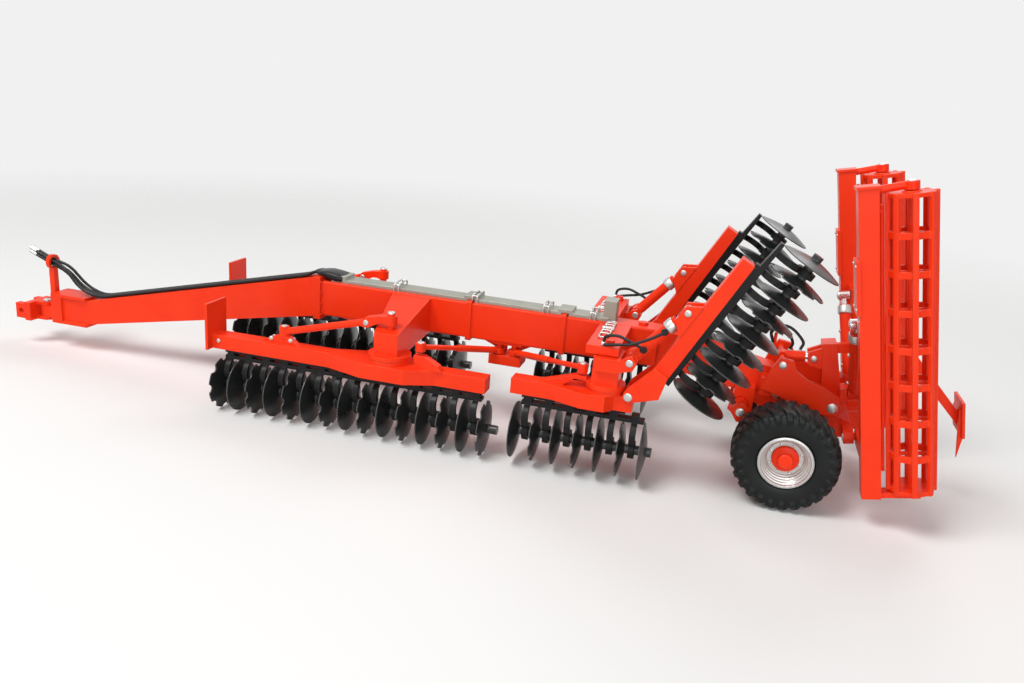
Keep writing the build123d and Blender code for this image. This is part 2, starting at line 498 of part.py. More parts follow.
    hx = rx + HINGE_AHEAD
    with BuildPart() as rear_beam:
        block(rx - REAR_AHEAD, rx + REAR_BEHIND, gy - GANG_WIDTH / 2, gy + GANG_WIDTH / 2,
              REAR_BEAM_BOTTOM, rear_top)
        cross_bar(hx, gy - GANG_WIDTH / 2, gy + GANG_WIDTH / 2, HINGE_Z, 1.9)
        cross_bar(hx, gy - GANG_WIDTH / 2 - 2.0, gy + GANG_WIDTH / 2 + 2.0, HINGE_Z, 1.1)
        with BuildSketch(Plane.XY.offset(REAR_BEAM_BOTTOM)):
            with Locations((rx, gy)):
                Polygon((-17, -3), (-7, -6.6), (1, -6.6), (3.6, -3), (3.6, 3), (1, 6.6), (-7, 6.6), (-17, 3),
                        align=None)
        extrude(amount=GANG_DEPTH)
        post(rx, gy, rear_top, rear_top + FLANGE_THICK, REAR_FLANGE_RADIUS - 0.4)
        post(rx, gy, rear_top + FLANGE_THICK, post_base, REAR_FLANGE_RADIUS)
        block(rx - HALF_POST, rx + HALF_POST, gy - HALF_POST, gy + HALF_POST, post_base, slab - CLEAR)
        post(rx, gy, slab - CLEAR, 47.6, KINGPIN_RADIUS)
        # ears that carry the wing cylinder
        for y in (gy - HALF_POST - 1.8, gy + HALF_POST):
            side_plate(((rx - 3.6, 38.4), (rx + 3.0, 38.4), (rx + CYL_BASE_X + 1.2, CYL_BASE_Z - 2.4),
                        (rx + CYL_BASE_X + 2.3, CYL_BASE_Z), (rx + CYL_BASE_X + 0.6, CYL_BASE_Z + 2.2),
                        (rx + CYL_BASE_X - 1.6, CYL_BASE_Z + 1.4), (rx + 4.4, slab - CLEAR),
                        (rx - 3.6, slab - CLEAR)),
                       y + 1.8, y)
        cross_bar(rx + CYL_BASE_X, gy - HALF_POST - 1.8, gy + HALF_POST + 1.8, CYL_BASE_Z, PIN_RADIUS)
        side_plate(((rx - 23.0, rear_top), (rx - 14.0, rear_top), (rx - REAR_ARM - 2.2, rear_top + 2.8),
                    (rx - REAR_ARM + 1.8, REAR_ARM_Z - 1.4), (rx - REAR_ARM + 1.8, REAR_ARM_Z),
                    (rx - REAR_ARM - 1.8, REAR_ARM_Z), (rx - 19.0, rear_top + 1.2)), gy + 1.5, gy - 1.5)
    finish(rear_beam, f"rear_gang_beam_{side}")

    rear_first = rx + REAR_FIRST_DISC
    rotor_plane = Plane(origin=(0, gy, REAR_AXLE_Z), x_dir=(1, 0, 0), z_dir=(0, -1, 0))
    with BuildPart() as rear_hangers:
        row_end = rear_first + (REAR_DISCS - 1) * DISC_PITCH + DISC_DISH
        rail_z = REAR_AXLE_Z + DISC_RADIUS + CLEAR
        block(rear_first + 2, rx + REAR_BEHIND - 2, gy - RAIL_WIDTH / 2, gy + RAIL_WIDTH / 2,
              REAR_BEAM_BOTTOM - RAIL_THICK, REAR_BEAM_BOTTOM)
        block(rear_first + 2, row_end - 2, gy - RAIL_WIDTH / 2, gy + RAIL_WIDTH / 2,
              rail_z, rail_z + RAIL_THICK)
        hanger_row(rotor_plane, REAR_BEAM_BOTTOM - REAR_AXLE_Z - RAIL_THICK, REAR_DISCS, rear_first,
                   DISC_PITCH, s)
    finish(rear_hangers, f"rear_hangers_{side}")

    with BuildPart() as rear_discs:
        disc_row(rotor_plane, REAR_DISCS, rear_first, DISC_PITCH, REAR_STUB)
        notch_row(rotor_plane, REAR_DISCS, rear_first, DISC_PITCH, 1)
    finish(rear_discs, f"rear_discs_{side}")

    # ------------------------------------------------------------ wing
    along = Vector(cos(radians(WING_FOLD)), 0, sin(radians(WING_FOLD)))
    upward = Vector(-sin(radians(WING_FOLD)), 0, cos(radians(WING_FOLD)))
    hinge = Vector(hx, gy, HINGE_Z)

    def wing_plane(y):
        """Drawing plane in the wing's side view: x along the wing, y out of its top."""
        return Plane(origin=(hx, y, HINGE_Z), x_dir=along, z_dir=(0, -1, 0))

    def wing_plate(points, y0, y1):
        """Flat plate cut to an outline in the wing's side view."""
        with BuildSketch(wing_plane(y0)) as outline:
            Polygon(*points, align=None)
        extrude(outline.sketch, amount=y0 - y1)

    with BuildPart() as wing_beam:
        wing_plate(((WING_ROOT, WING_TOP), (WING_TIP, WING_TOP), (WING_TIP, WING_TOP - WING_DEPTH_TIP),
                    (WING_ROOT, WING_TOP - WING_DEPTH_ROOT)), gy + GANG_WIDTH / 2, gy - GANG_WIDTH / 2)
        for y in (gy - GANG_WIDTH / 2 - 1.9, gy + GANG_WIDTH / 2 + FIT):
            wing_plate(((-1.6, 1.6), (2.5, 1.9), (13.0, WING_TOP), (13.0, WING_TOP - 5.0), (5.4, -8.0),
                        (-0.6, -2.2), (-1.9, -1.0)), y + 1.8, y)
        cross_bar(hx, gy - 6, gy + 6, HINGE_Z, 1.1 + FIT, mode=Mode.SUBTRACT)
        for y in (gy - 3.3, gy + 2.2):
            wing_plate(((25.0, WING_TOP), (29.0, WING_PIN_N + 1.8), (WING_PIN_S + 1.4, WING_PIN_N + 1.8),
                        (WING_PIN_S + 4.4, WING_TOP)), y + 1.1, y)
        # the root plates wrap the gang beam, so a short spacer joins them behind the hinge
        wing_plate(((3.4, WING_TOP), (13.0, WING_TOP), (13.0, WING_TOP - 5.0), (3.4, WING_TOP - 5.0)),
                   gy + GANG_WIDTH / 2 + 1.9, gy - GANG_WIDTH / 2 - 1.9)
    finish(wing_beam, f"wing_beam_{side}")

    axle_plane = Plane(origin=hinge + upward * WING_AXLE, x_dir=along, z_dir=(0, -1, 0))
    with BuildPart() as wing_hangers:
        rail_n = WING_AXLE + DISC_RADIUS + CLEAR
        wing_plate(((10.0, WING_TOP - 5.6), (WING_TIP + 1.0, WING_TOP - WING_DEPTH_TIP),
                    (WING_TIP + 1.0, WING_TOP - WING_DEPTH_TIP - RAIL_THICK),
                    (WING_TIP + 10.0, rail_n + RAIL_THICK), (WING_TIP + 10.0, rail_n), (10.0, rail_n)),
                   gy + RAIL_WIDTH / 2, gy - RAIL_WIDTH / 2)
        hanger_row(axle_plane, DISC_RADIUS + CLEAR + RAIL_THICK, WING_DISCS, WING_FIRST_DISC, WING_PITCH, s)
    finish(wing_hangers, f"wing_hangers_{side}")

    with BuildPart() as wing_discs:
        disc_row(axle_plane, WING_DISCS, WING_FIRST_DISC, WING_PITCH, REAR_STUB)
        notch_row(axle_plane, WING_DISCS, WING_FIRST_DISC, WING_PITCH, 1)
    finish(wing_discs, f"wing_discs_{side}")

    # ------------------------------------------------------------ wing cylinder
    base = Vector(rx + CYL_BASE_X, gy, CYL_BASE_Z)
    pin = hinge + along * WING_PIN_S + upward * WING_PIN_N
    reach = (pin - base).length
    push = (pin - base) * (1 / reach)
    with BuildPart() as wing_barrel:
        cross_bar(base.X, gy - 2.4, gy + 2.4, base.Z, EYE_RADIUS)
        rod_between((base + push * 1.4), (base + push * (reach - 4.6)), BARREL_RADIUS)
        cross_bar(base.X, gy - 3, gy + 3, base.Z, PIN_RADIUS + FIT, mode=Mode.SUBTRACT)
        with BuildSketch(Plane(origin=base + push * (reach - 4.6), z_dir=push * -1)):
            Circle(ROD_RADIUS + FIT)
        extrude(amount=reach - 4.6 - 3.6, mode=Mode.SUBTRACT)
    finish(wing_barrel, f"wing_barrel_{side}")

    with BuildPart() as wing_rod:
        rod_between((base + push * 4.2), (pin - push * 1.2), ROD_RADIUS)
        cross_bar(pin.X, gy - 1.8, gy + 1.8, pin.Z, 1.7)
    finish(wing_rod, f"wing_rod_{side}")

    # ------------------------------------------------------------ tie rods
    front_tip = (fx + FRONT_ARM, gy + s * FRONT_ARM_OUT, FRONT_ARM_Z + FRONT_TIE_GAP + TIE_EYE_DROP)
    rear_tip = (rx - REAR_ARM, gy, REAR_ARM_Z + REAR_TIE_GAP + TIE_EYE_DROP)
    for name, pin_x, tip in (("front_tie", TIE_FRONT_PIN, front_tip), ("rear_tie", TIE_REAR_PIN, rear_tip)):
        anchor = Vector(pin_x, s * TIE_PIN_Y, TIE_Z)
        tip = Vector(*tip)
        run = tip - anchor
        unit = run * (1 / run.length)
        split = TIE_SPLIT * run.length
        with BuildPart() as tie_sleeve:
            rod_between(anchor + unit * 1.4, anchor + unit * split, TIE_SLEEVE_RADIUS)
            post(anchor.X, anchor.Y, TIE_Z - TIE_EYE_THICK / 2, TIE_Z + TIE_EYE_THICK / 2, TIE_EYE_RADIUS)
            post(anchor.X, anchor.Y, TIE_Z - 3, TIE_Z + 3, PIN_RADIUS + FIT, mode=Mode.SUBTRACT)
            with BuildSketch(Plane(origin=anchor + unit * split, z_dir=unit * -1)):
                Circle(TIE_RADIUS + FIT)
            extrude(amount=split - 3.6, mode=Mode.SUBTRACT)
        finish(tie_sleeve, f"{name}_sleeve_{side}")

        with BuildPart() as tie_rod:
            rod_between(anchor + unit * (split - TIE_OVERLAP), tip - unit * 1.0, TIE_RADIUS)
            post(tip.X, tip.Y, tip.Z - TIE_EYE_DROP, tip.Z + 1.4, 1.7)
        finish(tie_rod, f"{name}_rod_{side}")

# ---------------------------------------------------------------- roller mount
lean_up = Vector(-sin(radians(LEAN)), 0, cos(radians(LEAN)))
lean_back = Vector(cos(radians(LEAN)), 0, sin(radians(LEAN)))
mount_pin = Vector(MOUNT_X, 0, MOUNT_Z)


def lean_plane(y, shift=0.0):
    """Side-view plane of the leaning rear unit: x to the rear, y up along the lean."""
    return Plane(origin=(MOUNT_X - shift, y, MOUNT_Z), x_dir=lean_back, z_dir=(0, -1, 0))


def lean_point(back, y, up, shift=0.0):
    """Point given behind and above the mount pin, along the lean."""
    p = mount_pin + lean_back * back + lean_up * up
    return (p.X - shift, y, p.Z)


def lean_plate(points, y0, y1, shift=0.0, mode=Mode.ADD):
    """Flat plate cut to an outline in the leaning side view."""
    with BuildSketch(lean_plane(y0, shift)) as outline:
        Polygon(*points, align=None)
    extrude(outline.sketch, amount=y0 - y1, mode=mode)


def lean_pin(back, up, y0, y1, radius, shift=0.0, mode=Mode.ADD):
    """Round bar or hole along Y at a place in the leaning side view."""
    x, _, z = lean_point(back, 0, up, shift)
    cross_bar(x, y0, y1, z, radius, mode=mode)


TILT_BASE = Vector(TILT_PIN_X, 0, TILT_PIN_Z)
TILT_BACK, TILT_UP = -4.7, 14.2           # rod eye of the tilt cylinder
FRAME_BACK = CAGE_CENTRE - 14.4           # front face of the roller tubes, behind the mount pin
FOLD_BACK = 7.0                           # plane of the fold cylinders, behind the mount pin
FOLD_BASE_Y, FOLD_BASE_UP = 8.0, 3.4      # their base pins on the mount
FOLD_EYE_Y, FOLD_EYE_UP = 20.4, 30.2      # and rod eyes at the roller frames
FOLD_THICK = 3.8                          # width of their eyes


def lean_rod(a, b, radius, shift=0.0, mode=Mode.ADD):
    """Round rod between two (back, y, up) points of the leaning rear unit."""
    a, b = Vector(lean_point(*a, shift)), Vector(lean_point(*b, shift))
    with BuildSketch(Plane(origin=a, z_dir=b - a)) as round_end:
        Circle(radius)
    extrude(round_end.sketch, amount=(b - a).length, mode=mode)


with BuildPart() as roller_mount:
    lean_plate(((-2.6, -2.6), (2.6, -2.6), (3.4, 4.0), (2.6, 19.4), (-2.0, 19.4), (-2.6, 4.0)), 3.8, -3.8)
    lean_pin(0, 0, -PLATE_Y + CLEAR, PLATE_Y - CLEAR, 2.8)
    lean_pin(0, 0, -12, 12, 1.3 + FIT, mode=Mode.SUBTRACT)
    # ears of the tilt cylinder's rod eye
    for y in (-2.9, 1.5):
        lean_plate(((TILT_BACK - 1.8, TILT_UP - 2.2), (-1.0, 10.0), (-1.0, 18.0),
                    (TILT_BACK - 1.8, TILT_UP + 2.2)), y + 1.4, y)
    # cross beam, and the arms that carry the roller hinges
    lean_plate(((-1.6, ROLLER_HINGE_UP - 2.4), (FRAME_BACK - 0.5, ROLLER_HINGE_UP - 2.4),
                (FRAME_BACK - 0.5, ROLLER_HINGE_UP + 2.4), (-1.6, -2.0)), 9.6, -9.6)
    for s in (-1, 1):
        inner, outer = sorted((s * 9.0, s * ROLLER_HINGE_Y))
        lean_plate(((FRAME_BACK - 3.6, ROLLER_HINGE_UP - 2.4), (FRAME_BACK - 0.5, ROLLER_HINGE_UP - 2.4),
                    (FRAME_BACK - 0.5, ROLLER_HINGE_UP + 2.4), (FRAME_BACK - 3.6, ROLLER_HINGE_UP + 2.4)),
                   outer, inner)
        lean_rod((FRAME_BACK - 3.6, s * ROLLER_HINGE_Y, ROLLER_HINGE_UP),
                 (FRAME_BACK - 0.5, s * ROLLER_HINGE_Y, ROLLER_HINGE_UP), 2.4)
        lean_rod((FRAME_BACK - 0.6, s * ROLLER_HINGE_Y, ROLLER_HINGE_UP),
                 (FRAME_BACK + 6.0, s * ROLLER_HINGE_Y, ROLLER_HINGE_UP), 1.2)
        # lug and base pin of the fold cylinder
        inner, outer = sorted((s * 3.0, s * (FOLD_BASE_Y + 2.0)))
        lug_back = FOLD_BACK - FOLD_THICK / 2 - CLEAR
        lean_plate(((lug_back - 2.2, FOLD_BASE_UP - 2.2), (lug_back, FOLD_BASE_UP - 2.2),
                    (lug_back, FOLD_BASE_UP + 2.2), (lug_back - 2.2, FOLD_BASE_UP + 2.2)), outer, inner)
        lean_rod((lug_back - 0.1, s * FOLD_BASE_Y, FOLD_BASE_UP),
                 (FOLD_BACK + FOLD_THICK / 2 + 0.6, s * FOLD_BASE_Y, FOLD_BASE_UP), PIN_RADIUS)
    # bent arm that carries the sign board
    lean_plate(((2.0, 15.4), (2.0, 18.6), (BOARD_BACK - 15.5, 18.6), (BOARD_BACK, -6.0), (BOARD_BACK, -11.0),
                (BOARD_BACK - 17.2, 15.4)), 1.2, -1.2)
finish(roller_mount, "roller_mount")

tilt_pin = Vector(lean_point(TILT_BACK, 0, TILT_UP))
tilt_reach = (tilt_pin - TILT_BASE).length
tilt_push = (tilt_pin - TILT_BASE) * (1 / tilt_reach)
with BuildPart() as tilt_barrel:
    cross_bar(TILT_BASE.X, -2.2, 2.2, TILT_BASE.Z, 1.8)
    rod_between((TILT_BASE + tilt_push * 1.0), (TILT_BASE + tilt_push * (tilt_reach - 2.6)), 1.8)
    cross_bar(TILT_BASE.X, -3, 3, TILT_BASE.Z, 1.0 + FIT, mode=Mode.SUBTRACT)
    with BuildSketch(Plane(origin=TILT_BASE + tilt_push * (tilt_reach - 2.6), z_dir=tilt_push * -1)):
        Circle(ROD_RADIUS + FIT)
    extrude(amount=tilt_reach - 2.6 - 3.0, mode=Mode.SUBTRACT)
finish(tilt_barrel, "tilt_barrel")

with BuildPart() as tilt_rod:
    rod_between((TILT_BASE + tilt_push * 3.4), (tilt_pin - tilt_push * 1.2), ROD_RADIUS)
    cross_bar(tilt_pin.X, -1.2, 1.2, tilt_pin.Z, 1.7)
finish(tilt_rod, "tilt_rod")

# ---------------------------------------------------------------- rollers
CAGE_BOTTOM, CAGE_TOP = -20.0, 70.4
END_PLATE = 1.2

for side, s, front_shift, rear_shift in SIDES:
    ry = s * ROLLER_Y
    y_low, y_high = sorted((ry - FRAME_WIDE / 2, ry + FRAME_WIDE / 2))
    back = FRAME_BACK
    with BuildPart() as roller_frame:
        lean_plate(((back, FRAME_BOTTOM), (back + FRAME_DEEP, FRAME_BOTTOM), (back + FRAME_DEEP, FRAME_TOP),
                    (back, FRAME_TOP)), y_high, y_low)
        # arm to the hinge, with its eye
        inner, outer = sorted((s * ROLLER_HINGE_Y, s * (ROLLER_Y - FRAME_WIDE / 2 + 0.5)))
        lean_plate(((back, ROLLER_HINGE_UP - 2.4), (back + 5.0, ROLLER_HINGE_UP - 2.4),
                    (back + 5.0, ROLLER_HINGE_UP + 2.4), (back, ROLLER_HINGE_UP + 2.4)), outer, inner)
        hinge_y = s * ROLLER_HINGE_Y
        lean_rod((back, hinge_y, ROLLER_HINGE_UP), (back + 5.0, hinge_y, ROLLER_HINGE_UP), 2.4)
        lean_rod((back - 1, hinge_y, ROLLER_HINGE_UP), (back + 6.0, hinge_y, ROLLER_HINGE_UP), 1.2 + FIT,
                 mode=Mode.SUBTRACT)
        # plate that the fold cylinder pulls on
        inner, outer = sorted((s * (FOLD_EYE_Y - 2.0), s * (ROLLER_Y - FRAME_WIDE / 2 + 0.5)))
        plate_back = FOLD_BACK + FOLD_THICK / 2 + CLEAR
        lean_plate(((plate_back, 10.0), (plate_back + 1.6, 10.0), (plate_back + 1.6, FOLD_EYE_UP + 2.2),
                    (plate_back, FOLD_EYE_UP + 2.2)), outer, inner)
        # bottom bracket and top bar, each with the bearing of the cage
        lean_plate(((back + 0.6, CAGE_BOTTOM - 0.6), (back + 0.6, CAGE_BOTTOM - 2.2),
                    (CAGE_CENTRE + 2.4, CAGE_BOTTOM - 2.2), (CAGE_CENTRE + 2.4, CAGE_BOTTOM - 0.6)),
                   ry + 2.2, ry - 2.2)
        lean_rod((back + FRAME_DEEP - 1.0, ry, FRAME_TOP - 1.5), (CAGE_CENTRE, ry, CAGE_TOP + 2.0), 1.15)
        lean_rod((CAGE_CENTRE, ry, CAGE_TOP + 0.6), (CAGE_CENTRE, ry, CAGE_TOP + 3.0), 2.1)
        # thin guard rod on two stubs
        guard = back + FRAME_DEEP + 0.9
        lean_rod((guard, ry, CAGE_BOTTOM + 6.0), (guard, ry, CAGE_TOP - 3.0), GUARD_RADIUS)
        for up in (CAGE_BOTTOM + 8.0, CAGE_TOP - 5.0):
            lean_rod((back + FRAME_DEEP - 0.5, ry, up), (guard, ry, up), GUARD_RADIUS)
        # rounded plate with its bolts on the tube's front, and the cap on its end
        lean_plate(((back - 0.8, 36.0), (back + 0.4, 36.0), (back + 0.4, 52.0), (back - 0.8, 52.0)),
                   ry + FRAME_WIDE / 2 + 0.8, ry - FRAME_WIDE / 2 - 0.8)
        lean_plate(((back - 0.5, FRAME_TOP - 0.8), (back + FRAME_DEEP + 0.5, FRAME_TOP - 0.8),
                    (back + FRAME_DEEP + 0.5, FRAME_TOP), (back - 0.5, FRAME_TOP)), y_high + 0.5, y_low - 0.5)
    finish(roller_frame, f"roller_frame_{side}")

    cage_base = Vector(*lean_point(CAGE_CENTRE, ry, CAGE_BOTTOM))
    with BuildPart() as cage:
        with BuildSketch(Plane(origin=cage_base, x_dir=(0, 1, 0), z_dir=lean_up)):
            Circle(1.2)
        extrude(amount=CAGE_TOP - CAGE_BOTTOM)
        for index in range(CAGE_RINGS):
            up = index * (CAGE_TOP - CAGE_BOTTOM - END_PLATE) / (CAGE_RINGS - 1)
            closed = index in (0, CAGE_RINGS - 1)
            with BuildSketch(Plane(origin=cage_base + lean_up * up, x_dir=(0, 1, 0), z_dir=lean_up)):
                Circle(CAGE_RADIUS - 1.0)
                if not closed:
                    with PolarLocations(3.3, 4):
                        RectangleRounded(2.9, 2.9, 0.5, mode=Mode.SUBTRACT)
            extrude(amount=END_PLATE)
        with BuildSketch(Plane(origin=cage_base, x_dir=(0, 1, 0), z_dir=lean_up)):
            with PolarLocations(CAGE_RADIUS - 1.0, CAGE_BARS):
                Rectangle(2.0, 0.9)
        extrude(amount=CAGE_TOP - CAGE_BOTTOM)
    finish(cage, f"roller_cage_{side}")

    # fold cylinder
    base = Vector(lean_point(FOLD_BACK, s * FOLD_BASE_Y, FOLD_BASE_UP))
    eye = Vector(lean_point(FOLD_BACK, s * FOLD_EYE_Y, FOLD_EYE_UP))
    reach = (eye - base).length
    push = (eye - base) * (1 / reach)
    half_eye = lean_back * (FOLD_THICK / 2)
    with BuildPart() as fold_barrel:
        rod_between(base - half_eye, base + half_eye, EYE_RADIUS)
        rod_between(base + push * 1.4, base + push * (reach - 3.4), BARREL_RADIUS)
        with BuildSketch(Plane(origin=base - lean_back * 4, z_dir=lean_back)):
            Circle(PIN_RADIUS + FIT)
        extrude(amount=8, mode=Mode.SUBTRACT)
        with BuildSketch(Plane(origin=base + push * (reach - 3.4), z_dir=push * -1)):
            Circle(ROD_RADIUS + FIT)
        extrude(amount=reach - 3.4 - 3.0, mode=Mode.SUBTRACT)
    finish(fold_barrel, f"fold_barrel_{side}")

    with BuildPart() as fold_rod:
        rod_between(base + push * 3.4, eye - push * 1.2, ROD_RADIUS)
        rod_between(eye - half_eye, eye + half_eye, 1.7)
    finish(fold_rod, f"fold_rod_{side}")

with BuildPart() as marker_board:
    board_plane = Plane(origin=lean_point(BOARD_BACK, 0, 0), x_dir=(0, 1, 0), z_dir=lean_back)
    with BuildSketch(board_plane) as board:
        Polygon((-7, -13), (7, -13), (7, -6), (5.4, -4.6), (5.4, -1), (-7, -1), align=None)
    extrude(board.sketch, amount=BOARD_THICK)
    # pointed gusset that hangs from its lower edge, on the left
    lean_plate(((BOARD_BACK - 1.4, -20.0), (BOARD_BACK + BOARD_THICK, -12.0), (BOARD_BACK, -4.0),
                (BOARD_BACK - 0.6, -4.0)), -4.6, -5.6)
finish(marker_board, "marker_board")
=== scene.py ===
# %% [markdown]
# # Scale model of a folded disc harrow
# The harrow is a toy-size machine cast in metal and plastic: a long red spine on two wheels,
# four gangs of black discs, and two red crumbler rollers folded upright at the back.
# The measured parts arrive as a fixed frame. This lesson gives each of them its finish, and
# adds the small things that a caster or an assembler would: tyre lugs, pins, bolts and hoses.

# %% Load the frame
import json
from math import cos, pi, radians, sin
import bmesh
import bpy
import numpy as np
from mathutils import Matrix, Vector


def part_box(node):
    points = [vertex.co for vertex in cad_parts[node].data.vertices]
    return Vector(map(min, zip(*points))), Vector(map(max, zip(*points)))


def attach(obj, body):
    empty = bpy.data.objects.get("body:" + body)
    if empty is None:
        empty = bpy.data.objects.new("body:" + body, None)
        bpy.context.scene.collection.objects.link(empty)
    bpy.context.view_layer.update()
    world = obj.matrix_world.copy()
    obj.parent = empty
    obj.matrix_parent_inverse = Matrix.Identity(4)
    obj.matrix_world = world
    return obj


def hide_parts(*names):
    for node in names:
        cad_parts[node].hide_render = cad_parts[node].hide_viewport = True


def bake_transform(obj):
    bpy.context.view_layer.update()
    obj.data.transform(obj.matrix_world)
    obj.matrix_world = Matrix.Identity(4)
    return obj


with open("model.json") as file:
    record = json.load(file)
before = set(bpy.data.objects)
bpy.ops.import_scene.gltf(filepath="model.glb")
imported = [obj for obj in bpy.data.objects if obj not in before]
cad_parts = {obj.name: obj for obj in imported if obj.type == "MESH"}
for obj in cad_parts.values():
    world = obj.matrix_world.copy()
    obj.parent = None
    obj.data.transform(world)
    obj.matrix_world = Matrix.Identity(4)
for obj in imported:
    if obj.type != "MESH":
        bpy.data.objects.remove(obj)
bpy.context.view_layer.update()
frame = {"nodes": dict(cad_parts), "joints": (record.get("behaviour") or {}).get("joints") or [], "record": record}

MM = 0.001
nodes, record = frame["nodes"], frame["record"]
joints = {joint["name"]: joint for joint in frame["joints"]}

# %% [markdown]
# ## Camera
# A small object is looked at from close by, so the lens is fairly wide and perspective is strong.
# The camera stands at the front left corner, a little above the machine, and its three
# directions are written as the rows of a rotation matrix.

# %% Camera
camera_data = bpy.data.cameras.new("camera")
camera_data.lens, camera_data.sensor_width = 30.18, 36.0
camera_data.clip_start, camera_data.clip_end = 0.005, 20.0
camera = bpy.data.objects.new("camera", camera_data)
bpy.context.scene.collection.objects.link(camera)
right, up, back = (0.96190, 0.26201, 0.07812), (-0.14981, 0.26610, 0.95223), (0.22871, -0.92765, 0.29521)
position = (0.10345, -0.29339, 0.12565)
for row in range(3):
    for column, direction in enumerate((right, up, back, position)):
        camera.matrix_world[row][column] = direction[row]
bpy.context.scene.camera = camera
print("camera", camera_data.lens, "mm at", position)

# %% [markdown]
# ## Light
# A display cabinet has broad, soft light from above. One large lamp gives the main direction,
# a second one fills the near side, and a pale world lifts what neither reaches.

# %% Lamps and world
def soft_lamp(name, place, target, size, power):
    """Square lamp at a place, turned so that its -Z looks at the target."""
    lamp_data = bpy.data.lights.new(name, "AREA")
    lamp_data.size, lamp_data.energy = size, power
    lamp = bpy.data.objects.new(name, lamp_data)
    bpy.context.scene.collection.objects.link(lamp)
    away = np.array(place) - np.array(target)
    away = away / np.linalg.norm(away)
    sideways = np.cross((0.0, 0.0, 1.0), away)
    sideways = sideways / np.linalg.norm(sideways)
    upright = np.cross(away, sideways)
    for row in range(3):
        for column, direction in enumerate((sideways, upright, away, place)):
            lamp.matrix_world[row][column] = direction[row]
    return lamp


soft_lamp("key_lamp", (-0.35, -0.45, 0.95), (0.0, 0.0, 0.03), 0.5, 9.0)
soft_lamp("fill_lamp", (0.35, -0.90, 0.35), (0.05, 0.0, 0.04), 0.7, 4.3)
soft_lamp("back_lamp", (0.25, 0.75, 0.75), (0.0, 0.0, 0.04), 0.6, 3.5)

world = bpy.data.worlds.new("pale_room")
world.use_nodes = True
tree = world.node_tree
background = tree.nodes["Background"]
background.inputs["Color"].default_value = (1.0, 1.0, 1.0, 1.0)
light_path = tree.nodes.new("ShaderNodeLightPath")
seen, mirrored = tree.nodes.new("ShaderNodeMath"), tree.nodes.new("ShaderNodeMath")
seen.operation = mirrored.operation = "MAXIMUM"
strength = tree.nodes.new("ShaderNodeMapRange")
strength.inputs["To Min"].default_value, strength.inputs["To Max"].default_value = 0.30, 0.88
tree.links.new(light_path.outputs["Is Glossy Ray"], mirrored.inputs[0])
tree.links.new(light_path.outputs["Is Transmission Ray"], mirrored.inputs[1])
tree.links.new(light_path.outputs["Is Camera Ray"], seen.inputs[0])
tree.links.new(mirrored.outputs[0], seen.inputs[1])
tree.links.new(seen.outputs[0], strength.inputs["Value"])
tree.links.new(strength.outputs[0], background.inputs["Strength"])
bpy.context.scene.world = world
bpy.context.scene.view_settings.view_transform = "Standard"
print("three lamps and a pale world")

# %% [markdown]
# ## Shader groups
# Three effects come back in nearly every finish. Mottle is the slow unevenness of sprayed paint
# and moulded rubber. Worn edge finds the corners of a casting by comparing a bevelled normal with
# the true one, and the finishes make those corners lighter: partly paint worn thin, partly a painted
# highlight. Fine grain is the surface's own small bumps.
# Each is a node group, built once, and set to its own values in each material.

# %% Mottle, worn edge with painted highlight, and fine grain
def socket(group, name, way, kind="NodeSocketFloat", value=None):
    made = group.interface.new_socket(name=name, in_out=way, socket_type=kind)
    if value is not None:
        made.default_value = value


def group_noise(group, entry, scale_name, detail):
    """Noise texture on object coordinates, with its scale taken from the group's input."""
    place = group.nodes.new("ShaderNodeTexCoord")
    noise = group.nodes.new("ShaderNodeTexNoise")
    noise.inputs["Detail"].default_value = detail
    group.links.new(place.outputs["Object"], noise.inputs["Vector"])
    group.links.new(entry.outputs[scale_name], noise.inputs["Scale"])
    return noise


def build_mottle():
    """Mask from 0 to 1: noise stretched about its middle by the contrast."""
    group = bpy.data.node_groups.new("mottle", "ShaderNodeTree")
    socket(group, "Scale", "INPUT", value=60.0)
    socket(group, "Contrast", "INPUT", value=2.0)
    socket(group, "Mask", "OUTPUT")
    entry, leave = group.nodes.new("NodeGroupInput"), group.nodes.new("NodeGroupOutput")
    noise = group_noise(group, entry, "Scale", 4.0)
    centred = group.nodes.new("ShaderNodeMath")
    centred.operation, centred.inputs[1].default_value = "SUBTRACT", 0.5
    stretched = group.nodes.new("ShaderNodeMath")
    stretched.operation, stretched.use_clamp = "MULTIPLY_ADD", True
    stretched.inputs[2].default_value = 0.5
    group.links.new(noise.outputs["Fac"], centred.inputs[0])
    group.links.new(centred.outputs[0], stretched.inputs[0])
    group.links.new(entry.outputs["Contrast"], stretched.inputs[1])
    group.links.new(stretched.outputs[0], leave.inputs["Mask"])
    return group
